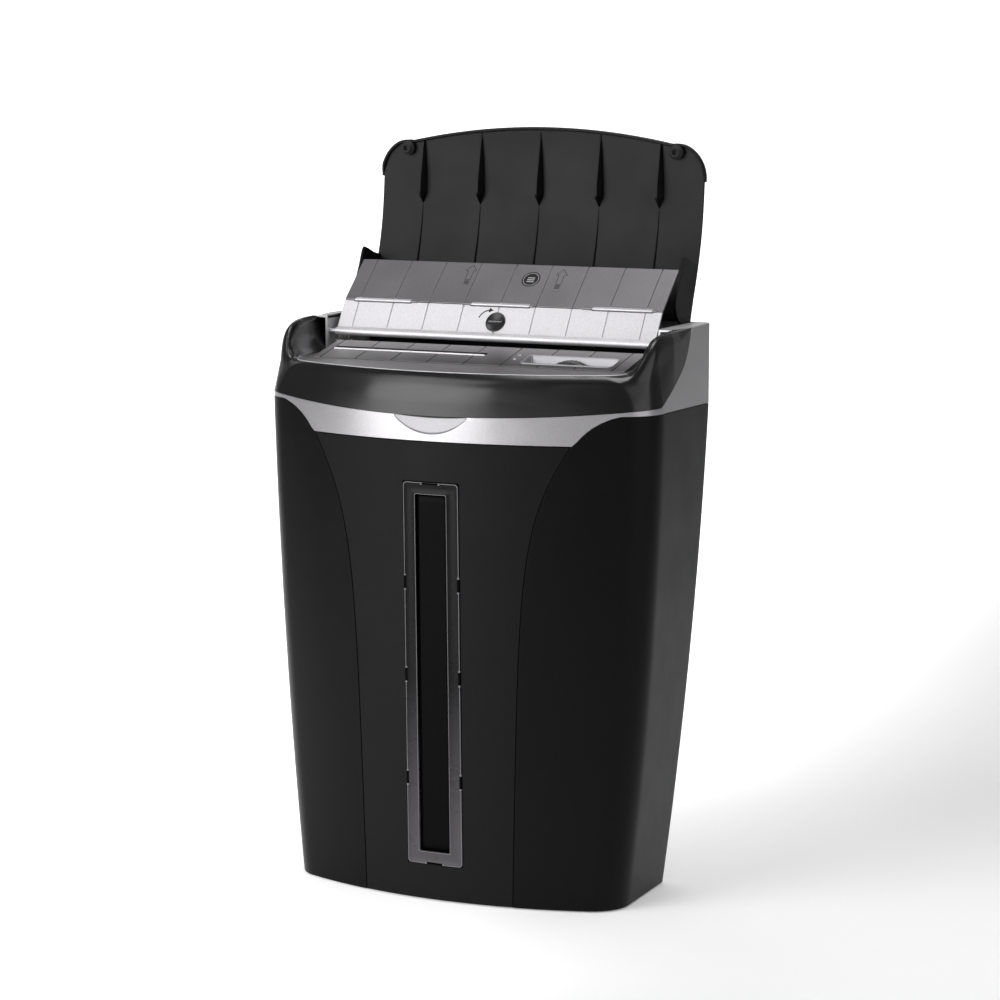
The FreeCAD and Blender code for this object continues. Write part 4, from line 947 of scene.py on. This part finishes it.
def make_well():
    floor_z = inlay_height(WELL_Y[0]) - WELL_DEPTH
    mid_x, mid_y = sum(WELL_X) / 2, sum(WELL_Y) / 2
    bm = bmesh.new()
    loops = []
    # distance in, height over the inlay or over the tray's floor, corner radius
    for grow, over_inlay, over_floor, radius in ((0.1, -2.0, None, 3.2), (0.0, 0.45, None, 3.2),
                                                 (1.0, 0.45, None, 2.6), (1.7, -0.9, None, 2.2),
                                                 (2.6, None, 0.6, 2.0), (3.4, None, 0.0, 1.6)):
        ring = rounded_rect((WELL_X[1] - WELL_X[0]) / 2 - grow, WELL_Y[0] - mid_y + grow,
                            WELL_Y[1] - mid_y - grow, radius, 5)
        loops.append([(mid_x + x, mid_y + y, floor_z + over_floor if over_inlay is None
                       else inlay_height(mid_y + y) + over_inlay) for x, y in ring])
    verts = grid_faces(bm, loops, closed=True)
    bm.faces.new(verts[-1])
    piece("switch_tray", bm, "well", "head", "well_silver", "switch_well", thick=0.5, soft=(0.3, 3, 35),
          outward=lambda p: (0, 0, 1) if p.z > floor_z + 6 or p.z < floor_z + 0.3
          else ((mid_x - p.x) * 0.05, mid_y - p.y, 0.4))

    middle = mid_x - 1
    slit = bmesh.new()
    block(slit, (middle - 21, middle + 21), (0.1, 2.9), (floor_z - 0.05, floor_z + 0.12))
    piece("switch_slit", slit, "gap", "head", "inner_black", smooth=False)

    grip = bmesh.new()
    half = 14.0
    _, cz, radius = circle_through((-half, 2.5), (0.0, 8.5), (half, 2.5))
    outline = []
    for x in spread(half, -half, 56):
        ridge = 0.9 * (0.5 - 0.5 * math.cos(2 * math.pi * x / 3.6)) if abs(x) < 9.0 else 0.0
        outline.append((middle + x, floor_z + cz + math.sqrt(max(radius ** 2 - x ** 2, 0)) - ridge))
    outline += [(middle - half, floor_z + 0.5), (middle + half, floor_z + 0.5)]
    loft(grip, [[(x, y, z) for x, z in outline] for y in (-4.6, 8.0)])
    piece("slider_grip", grip, "knob", "slider", "knob_black", "mode_slider", soft=(0.7, 3, 50))

    lamps = bmesh.new()
    dome = [(0, -1.0), (1.5, -1.0), (1.5, 0.15), (1.25, 0.45), (0.7, 0.62), (0, 0.68)]
    for y in LED_Y:
        lathe(lamps, dome, (LED_X, y, inlay_height(y)), (0, -0.19, 1), 20)
    piece("led_domes", lamps, "lens", "head", "led_lens", "status_leds")


def make_cheek_edge(side, word):
    """Front edge of the silver cheek in bright silver, a painted highlight: the upright beside the deck and
    the lip across to the wing.
    """
    bm = bmesh.new()
    inner, outer = CHEEK_X - 0.1, CHEEK_X + 12.0
    outline = ((inner, 458.0), (CHEEK_X + 1.9, 458.0), (CHEEK_X + 1.9, 488.9), (outer, 489.4),
               (outer, 490.9), (inner, 490.9))
    loft(bm, [[(side * x, y, z) for x, z in outline] for y in (CHEEK_Y - 0.7, CHEEK_Y + 0.4)])
    piece("cheek_edge_highlight_" + word, bm, "plate", "head", "band_silver", soft=(0.35, 3))


def make_liner(side, word):
    bm = bmesh.new()
    outline = [(CHEEK_Y, 457.5), (112.4, 457.5), (112.4, HEAD_TOP - 0.2), (CHEEK_Y, HEAD_TOP - 0.2)]
    prism_mesh(bm, outline, *sorted((side * CHEEK_X, side * (CHEEK_X + 2.5))), "x")
    piece("liner_" + word, bm, "liner", "head", "band_silver", "cheek_liner_" + word, soft=(0.6, 3))


for side, word in SIDES:
    make_cheek_edge(side, word)
make_deck()
make_inlay()
make_well()
for side, word in SIDES:
    make_liner(side, word)


# ---- feed plates ----
def stand_point(x, d, n, plate):
    """A point at distance d up a plate and n out of its front face; plate holds angle, y and z."""
    angle, y, z = plate
    ca, sa = math.cos(math.radians(angle)), math.sin(math.radians(angle))
    return x, y + d * ca - n * sa, z + d * sa + n * ca


LOWER = (LOWER_ANGLE, ROD_Y, ROD_Z)
UPPER = (UPPER_ANGLE, *stand_point(0, LOWER_LEN, 0, LOWER)[1:])
GROOVE_DEPTH = 0.9
TAB_REACH = KNUCKLE_LEN / 2 + 0.8
PLATE_SOFT = (0.12, 2, 30)


def plate_mesh(bm, profile, groove_from, groove_to, plate, seam, recess):
    """Extrude a closed (d, n) profile along x.

    Points of the front face dip at each groove. Points on the joint's side of the seam step back by the
    recess where a hinge tab sits."""
    fine = [g + d for g in GROOVES for d in (-0.7, -0.4, 0.4, 0.7)]
    steps = [c + side * TAB_REACH + d for c in KNUCKLE_CENTRES for side in (-1, 1) for d in (-0.06, 0.06)]
    rows = []
    for x in merged_lines(spread(-PLATE_HALF, PLATE_HALF, 24), fine, steps):
        dip = GROOVE_DEPTH if any(abs(x - g) < 0.5 for g in GROOVES) else 0.0
        back = recess if any(abs(x - c) < TAB_REACH for c in KNUCKLE_CENTRES) else 0.0
        row = []
        for d, n in profile:
            deep = dip if groove_from < d < groove_to and abs(n) < 0.01 else 0.0
            near_seam = d > seam if recess < 0 else d < seam
            row.append(stand_point(x, d + (back if near_seam else 0.0), n - deep, plate))
        rows.append(row)
    loft(bm, rows)


def make_plates():
    bm = bmesh.new()
    tip = LOWER_LEN - 0.4
    profile = [(tip - 0.3, 0.0), (tip - 4, 0.0), (KNOB_UP, 0.0), (5.4, 0.0), (4.3, 0.05), (3.8, 0.35),
               (3.45, 0.9)]
    profile += arc(25, 332, 34, BARREL_R)
    profile += [(tip - 0.3, -PLATE_T), (tip, -PLATE_T + 0.4), (tip, -0.3)]
    plate_mesh(bm, profile, 4.4, 40, LOWER, tip - 1, -1.2)
    piece("lower_plate_sheet", bm, "plate", "lower_feed_plate", "plate_silver", "lower_plate",
          soft=PLATE_SOFT)

    bm = bmesh.new()
    profile = [(UPPER_LEN, 0.0), (UPPER_LEN - 6, 0.0), (14, 0.0), (0.7, 0.0), (0.4, -0.3),
               (0.4, -PLATE_T + 0.4), (0.7, -PLATE_T), (UPPER_LEN, -PLATE_T)]
    profile += arc(-75, 75, 8, 0.8, 0.8, UPPER_LEN, -0.8)
    plate_mesh(bm, profile, 0.6, UPPER_LEN + 0.1, UPPER, 1.0, 1.2)
    piece("upper_plate_sheet", bm, "plate_grey", "upper_feed_plate", "plate_grey", "upper_plate",
          soft=PLATE_SOFT)

    tabs = bmesh.new()
    profile = [(4.2, -1.2), (3.8, -0.3), *arc(20, 250, 18, KNUCKLE_R), (0.8, -1.9), (4.2, -1.8)]
    for x in KNUCKLE_CENTRES:
        loft(tabs, [[stand_point(end, d, n, UPPER) for d, n in profile]
                    for end in (x - KNUCKLE_LEN / 2, x + KNUCKLE_LEN / 2)])
    piece("upper_knuckles", tabs, "plate", "upper_feed_plate", "plate_silver", soft=(0.3, 2, 50))


# ---- printed marks and the lock knob ----
PRINT = 0.05
STROKE = 0.24
ARROWS = ((-42.2, 46.4), (46.7, 44.8))
BADGE_X, BADGE_UP = 19.0, 32.0
TURN_ARROW = ((-17.2, 3.6), (-12.6, 9.8), (-8.6, 11.3))
KNOB_PROFILE = [(0, -5.2), (2.9, -5.2), (2.9, 0.05), (KNOB_R, 0.05), (KNOB_R, 0.55), (KNOB_R - 0.3, 0.8),
                (KNOB_R - 1.0, 0.85), (KNOB_R - 1.3, 0.6), (0, 0.6)]


def flat_shape(bm, outline, low, thick, plate):
    """Thin flat shape that stands on a plate: outline in (x, d)."""
    loft(bm, [[stand_point(x, d, n, plate) for x, d in outline] for n in (low, low + thick)])


def ring_mesh(bm, cx, cd, inner, outer, n0, n1, plate, start=0.0, end=360.0, segments=40):
    """Flat ring, or part of one, on a plate."""
    full = end - start >= 359.9
    rows = []
    for up, across in arc(start, end, segments):
        rows.append([stand_point(cx + radius * across, cd + radius * up, n, plate)
                     for radius, n in ((inner, n0), (outer, n0), (outer, n1), (inner, n1))])
    if full:
        grid_faces(bm, rows[:-1] + rows[:1], closed=True)
        weld(bm)
    else:
        loft(bm, rows)


def make_marks():
    """Two outline arrows and a blank round badge on the upper plate, a turn arrow by the knob."""
    upper = ("upper_feed_plate", "plate_grey")
    lower = ("lower_feed_plate", "plate_silver")
    for number, (cx, tip) in enumerate(ARROWS):
        arrow = bmesh.new()
        head, foot = tip - 6.8, tip - 17.6
        path = [(-2.5, foot), (-2.5, head), (-5.4, head), (0.0, tip), (5.4, head), (2.5, head), (2.5, foot),
                (-2.5, foot)]
        bars = [[(-2.5, foot - d), (2.5, foot - d)] for d in (1.3, 2.2, 3.2, 4.1, 5.1)]
        for points in [path] + bars:
            for (x0, d0), (x1, d1) in zip(points, points[1:]):
                dx, dd = unit_step([(x0, d0), (x1, d1)], 0)
                left, right, up = cx - dd * STROKE, cx + dd * STROKE, dx * STROKE
                line = [(x0 + left, d0 + up), (x1 + left, d1 + up),
                        (x1 + right, d1 - up), (x0 + right, d0 - up)]
                flat_shape(arrow, line, 0.0, 0.04, UPPER)
        piece(f"feed_arrow_{number}", arrow, "mark", *upper, smooth=False)

    badge = bmesh.new()
    ring_mesh(badge, BADGE_X, BADGE_UP, 0.02, 8.7, 0.0, PRINT, UPPER)
    piece("badge_disc", badge, "mark", *upper, smooth=False)
    rim = bmesh.new()
    ring_mesh(rim, BADGE_X, BADGE_UP, 6.9, 7.4, PRINT, 0.09, UPPER)
    piece("badge_ring", rim, "print_light", *upper, smooth=False)
    for number, d in enumerate((28.6, 30.8, 33.0)):
        bm = bmesh.new()
        flat_shape(bm, [(15.6, d), (22.4, d), (22.4, d + 1.1), (15.6, d + 1.1)], PRINT, 0.04, UPPER)
        piece(f"badge_sheet_{number}", bm, "print_light", *upper, smooth=False)

    cx, cd, radius = circle_through(*TURN_ARROW)
    start, end = [math.degrees(math.atan2(x - cx, d - cd)) for x, d in (TURN_ARROW[0], TURN_ARROW[2])]
    sweep = bmesh.new()
    ring_mesh(sweep, cx, KNOB_UP + cd, radius - 0.55, radius + 0.55, 0.0, PRINT, LOWER, start, end, 16)
    piece("turn_arrow_shaft", sweep, "mark", *lower, smooth=False)
    bm = bmesh.new()
    tip = [(-9.2, KNOB_UP + 9.0), (-4.8, KNOB_UP + 11.2), (-8.6, KNOB_UP + 13.8)]
    flat_shape(bm, tip, 0.0, PRINT, LOWER)
    piece("turn_arrow_tip", bm, "mark", *lower, smooth=False)


def make_knob():
    lock = ("lock", "knob_black")
    angle = math.radians(LOWER_ANGLE)
    bm = bmesh.new()
    lathe(bm, KNOB_PROFILE, stand_point(0, KNOB_UP, 0, LOWER), (0, -math.sin(angle), math.cos(angle)), 56)
    piece("knob_disc", bm, "knob", *lock, "lock_knob", soft=(0.1, 2, 50))

    def bar(half, wide, shrink=0.0):
        return [(sx * (half - shrink), KNOB_UP + sd * (wide - shrink))
                for sx, sd in ((-1, -1), (1, -1), (1, 1), (-1, 1))]

    bm = bmesh.new()
    loft(bm, [[stand_point(x, d, n, LOWER) for x, d in bar(KNOB_BAR_HALF, 1.6, shrink)]
              for n, shrink in ((0.5, 0.0), (1.3, 0.1), (1.5, 0.5))])
    piece("knob_bar", bm, "knob", *lock, soft=(0.25, 3, 30))
    bm = bmesh.new()
    flat_shape(bm, bar(KNOB_BAR_HALF - 1.0, 0.28), 1.45, 0.12, LOWER)
    piece("knob_line", bm, "print_light", *lock, smooth=False)


make_plates()
make_marks()
make_knob()


# ---- lid ----
SHOULDER, SIDE_TOP, LID_HEM = 31.0, 613.0, 491.7
CROWN_HALF = LID_HALF - SHOULDER
# rim: distance in from the edge, and height over the sheet as (share of the rim's height, offset)
RIM_SECTION = ((0.15, 0, -1.5), (0.15, 1, -0.4), (0.55, 1, 0.0), (2.2, 1, 0.0), (2.6, 1, -0.4),
               (3.2, 0, -1.5))
ARM_OUTLINE = [(100.5, 482.5), (103, 480.7), (106, 480.0), (109, 480.9), (110.5, 483), (110.5, 493),
               (116, 509), (127.5, 541), (121, 541.2), (113.0, 543), (104, 546.5), (96.0, 549), (93, 546),
               (87.0, 532), (80.0, 519), (76.7, 511), (76.5, 505), (79, 499), (84.0, 494), (93, 488)]
BUMPER_PROFILE = [(0, 0.5), (6.4, 0.5), (6.5, -3.6), (6.2, -4.2), (5.0, -4.4), (4.9, -6.2), (4.5, -6.8),
                  (2.6, -6.9), (2.2, -6.4), (2.2, -4.4), (0, -4.4)]
BUMPER_PLACE = (132, 138.0, 636.5)
STRIP_LOW, STRIP_HIGH = 500.0, 586.0
FIN_LOW, FIN_WIDE, FIN_HIGH = 587.0, 597.0, 652.0


def lid_top(x):
    """Top edge of the lid seen from the front."""
    ax = abs(x)
    if ax > CROWN_HALF:
        return SIDE_TOP + math.sqrt(max(SHOULDER ** 2 - (ax - CROWN_HALF) ** 2, 0.0))
    rise = LID_TOP - SIDE_TOP - SHOULDER
    radius = (CROWN_HALF ** 2 + rise ** 2) / (2 * rise)
    return LID_TOP - radius + math.sqrt(radius ** 2 - ax ** 2)


def make_lid_sheet():
    bm = bmesh.new()
    xs = [CROWN_HALF + s for _, s in arc(0, 90, 10, SHOULDER)]
    xs = [-x for x in reversed(xs)] + spread(-CROWN_HALF, CROWN_HALF, 28)[1:-1] + xs
    rows = []
    for v in spread(0, 1, 44):
        heights = [LID_HEM + (lid_top(x) - LID_HEM) * v for x in xs]
        rows.append([(x, lid_y(z), z) for x, z in zip(xs, heights)])
    grid_faces(bm, rows)
    weld(bm, 0.005)
    piece("lid_sheet", bm, "lid", "lid", "lid_black", "lid_panel", outward=lambda p: (0, -1, 0.3),
          thick=LID_T, soft=(0.6, 3, 40))


def make_lid_rim():
    """Raised rim over the top and round the shoulders, where it also stands a little outside the sheet."""
    path = [(LID_HALF, SIDE_TOP - 2.0)] + arc(0, 90, 12, SHOULDER, SHOULDER, CROWN_HALF, SIDE_TOP)
    path += [(x, lid_top(x)) for x in spread(CROWN_HALF, 0, 16)[1:]]
    path += flip(path[:-1])[::-1]
    rows = []
    for i, (x, z) in enumerate(path):
        dx, dz = unit_step(path, i)
        nx, nz = (-dz, dx) if dx <= 0 else (dz, -dx)
        if abs(x) > LID_HALF - 0.01:
            nx, nz = -math.copysign(1.0, x), 0.0
        proud = 3.0 * clamp((z - SIDE_TOP) / 7.0, 0.02)
        bulge = 2.3 * clamp((abs(x) - CROWN_HALF) / 14.0)
        row = []
        for inset, share, over in RIM_SECTION:
            px, pz = x + nx * (inset - bulge), z + nz * (inset - bulge)
            row.append((px, lid_y(pz) - (proud * share + over), pz))
        rows.append(row)
    bm = bmesh.new()
    loft(bm, rows)
    piece("lid_rim", bm, "lid", "lid", "lid_black")


def make_lid_ribs():
    """Each rib is a tapered strip below and a diamond fin above, both given as (z, half width, height)."""
    bm = bmesh.new()
    for x in RIB_X:
        strip = []
        for z in spread(STRIP_LOW, STRIP_HIGH, 24):
            left = (STRIP_HIGH - z) / (STRIP_HIGH - STRIP_LOW)
            strip.append((z, 0.25 + 1.35 * left, 0.5 + 2.6 * left))
        fin = []
        top = min(FIN_HIGH, lid_top(x) - 2.6)
        for z in spread(FIN_LOW, FIN_WIDE, 8) + spread(FIN_WIDE, top, 22)[1:]:
            grow = min((z - FIN_LOW + 0.4) / (FIN_WIDE - FIN_LOW), 1.0)
            taper = 3.4 - 2.7 * max(z - FIN_WIDE, 0.0) / (FIN_HIGH - FIN_WIDE)
            # the fin's free edge is straight, from y 124.5 at z 590 to y 138.5 at its top
            depth = min(lid_y(z) - (124.5 + 14.0 * (z - 590.0) / (FIN_HIGH - 590.0)), 9.0)
            fin.append((z, max(taper * grow, 0.08), max(depth * grow, 0.3)))
        for shape in (strip, fin):
            loft(bm, [[(x + half * a, lid_y(z) - b * depth + c, z) for a, b, c in
                       ((-1, 0, 0.5), (-1, 0.35, 0), (-0.3, 1, 0), (0.3, 1, 0), (1, 0.35, 0), (1, 0, 0.5))]
                      for z, half, depth in shape])
    piece("lid_ribs", bm, "lid", "lid", "lid_black", soft=(0.2, 2, 35))


def make_lid_sides():
    for side, word in SIDES:
        bm = bmesh.new()
        prism_mesh(bm, ARM_OUTLINE, *sorted((side * LID_HALF, side * (LID_HALF - 2.3))), "x")
        piece("lid_arm_" + word, bm, "lid", "lid", "lid_black", soft=(0.5, 3))
        bm = bmesh.new()
        lathe(bm, BUMPER_PROFILE, (side * BUMPER_PLACE[0], *BUMPER_PLACE[1:]), (0, 1, 0), 36)
        piece("bumper_" + word, bm, "rubber", "lid", "rubber", *(["lid_bumpers"] if side < 0 else []))


make_lid_sheet()
make_lid_rim()
make_lid_ribs()
make_lid_sides()


# ---- parts that keep their CAD mesh ----
CARRIED = {
    "steel": "base_screws reduction_axle motor_clamp frame_left frame_right tie_rods plate_rod cutter_rear "
             "cutter_front motor_shaft motor_pinion feed_shaft",
    "inner": "head_base comb_front comb_rear throat_guides feed_tray interlock_switch",
    "nylon": "gear_rear feed_drive_gear gear_front reduction_gear feed_roller_gear interlock_plunger",
    "rubber": "bin_feet cord_gland feed_rollers",
    "bin": "interlock_striker", "can": "motor_body", "brass": "shaft_bushes", "board": "circuit_board",
    "plate_grey": "plate_hinge_pins", "knob": "lock_cam", "lid": "lid_pivot_pins",
}
for mat_name, names in CARRIED.items():
    for name in names.split():
        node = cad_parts[name]
        node.data.materials.clear()
        node.data.materials.append(M[mat_name])


# ---- stage ----
VIEW_DIR = Vector((-0.4383, 0.8988, 0.0))
VIEW_SIDE = Vector((VIEW_DIR.y, -VIEW_DIR.x, 0.0))
FLOOR_REACH, WALL_FROM, WALL_ROUND, WALL_TOP = 7.0, 3.0, 1.0, 5.0
WORLD_STRENGTH = 0.15
SENSOR, LENS = 36.0, 112.37
CAMERA_PLACE, CAMERA_DIP, CAMERA_TURN = (1.19317, -2.39069, 0.73162), 0.145676, 0.453786
# name, place, point it faces, size, watts
LIGHTS = (
    ("key_panel", (-0.98, -1.74, 0.80), (0, 0, 0.40), (1.4, 1.6), 28),
    ("key_upper", (-1.15, -1.45, 2.15), (0, 0, 0.45), (1.3, 1.0), 11),
    ("front_fill", (-0.15, -3.30, 1.00), (0, 0, 0.40), (2.4, 1.5), 5),
    ("top_softbox", (0.30, 0.10, 2.60), (0, 0, 0.0), (1.6, 1.6), 39),
    ("right_panel", (2.10, -0.62, 0.85), (0, 0, 0.40), (1.9, 1.5), 9),
)


def backdrop_glow(tree):
    """The backdrop glows behind the object; the glow fades out towards it and to both sides."""
    coords = object_coords(tree)

    def along(direction):
        inputs = {0: coords, 1: direction}
        return add_node(tree, "VectorMath", inputs, operation="DOT_PRODUCT").outputs["Value"]

    def calc(operation, *values):
        return add_node(tree, "Math", dict(enumerate(values)), operation=operation).outputs["Value"]

    depth, across = along(VIEW_DIR), along(VIEW_SIDE)
    # on the right the painted glow starts further back, so the floor stays darker where the shadow falls
    behind = calc("MULTIPLY_ADD", calc("MAXIMUM", across, 0.0), -2.3, depth)
    spread_out = calc("DIVIDE", calc("ABSOLUTE", across), calc("ADD", depth, 2.67))
    return calc("MULTIPLY", value_map(tree, behind, 0.0, 0.95, -0.9, 1.0, "SMOOTHSTEP"),
                value_map(tree, spread_out, 1.0, 0.0, 0.20, 0.60, "SMOOTHSTEP"))


def make_stage():
    """Pale plain floor that curves up into a backdrop, the studio's lights and a dim white world."""
    bm = bmesh.new()
    profile = [(-FLOOR_REACH, 0.0), (0.0, 0.0), (WALL_FROM, 0.0)]
    profile += [(WALL_FROM + s, WALL_ROUND - c) for c, s in arc(0, 90, 10, WALL_ROUND)[1:]]
    profile.append((WALL_FROM + WALL_ROUND, WALL_TOP))
    grid_faces(bm, [[(VIEW_DIR * t + VIEW_SIDE * w + Vector((0, 0, z))) / MM
                     for w in (-FLOOR_REACH, 0.0, FLOOR_REACH)] for t, z in profile])
    floor = mesh_object("floor", bm, outward=lambda p: (-VIEW_DIR.x * 0.2, -VIEW_DIR.y * 0.2, 1.0))
    mat, tree, bsdf, coords = material("floor_white")
    feed(tree, bsdf, {"Base Color": two_tone(tree, noise(tree, coords, 3.0), (1.0, 1.0, 1.0), 0.86, 0.88),
                      "Roughness": 0.8, "Specular IOR Level": 0.2,
                      "Emission Color": (1.0, 1.0, 1.0, 1.0), "Emission Strength": backdrop_glow(tree)})
    floor.data.materials.append(mat)

    world = bpy.data.worlds.new("studio")
    bpy.context.scene.world = world
    world.use_nodes = True
    feed(world.node_tree, world.node_tree.nodes["Background"],
         {"Color": (1.0, 1.0, 1.0, 1.0), "Strength": WORLD_STRENGTH})

    for name, place, target, size, watts in LIGHTS:
        data = bpy.data.lights.new(name, "AREA")
        data.shape = "RECTANGLE"
        data.size, data.size_y = size
        data.energy = watts
        obj = link_object(name, data)
        obj.location = place
        obj.rotation_euler = (Vector(target) - Vector(place)).to_track_quat("-Z", "Y").to_euler()


def make_camera():
    data = bpy.data.cameras.new("camera")
    data.sensor_width = SENSOR
    data.lens = LENS
    data.clip_start = 0.05
    obj = link_object("camera", data)
    obj.location = CAMERA_PLACE
    obj.rotation_euler = (math.pi / 2 - CAMERA_DIP, 0.0, CAMERA_TURN)
    bpy.context.scene.camera = obj


make_stage()
make_camera()
bpy.context.scene.view_settings.view_transform = "Standard"
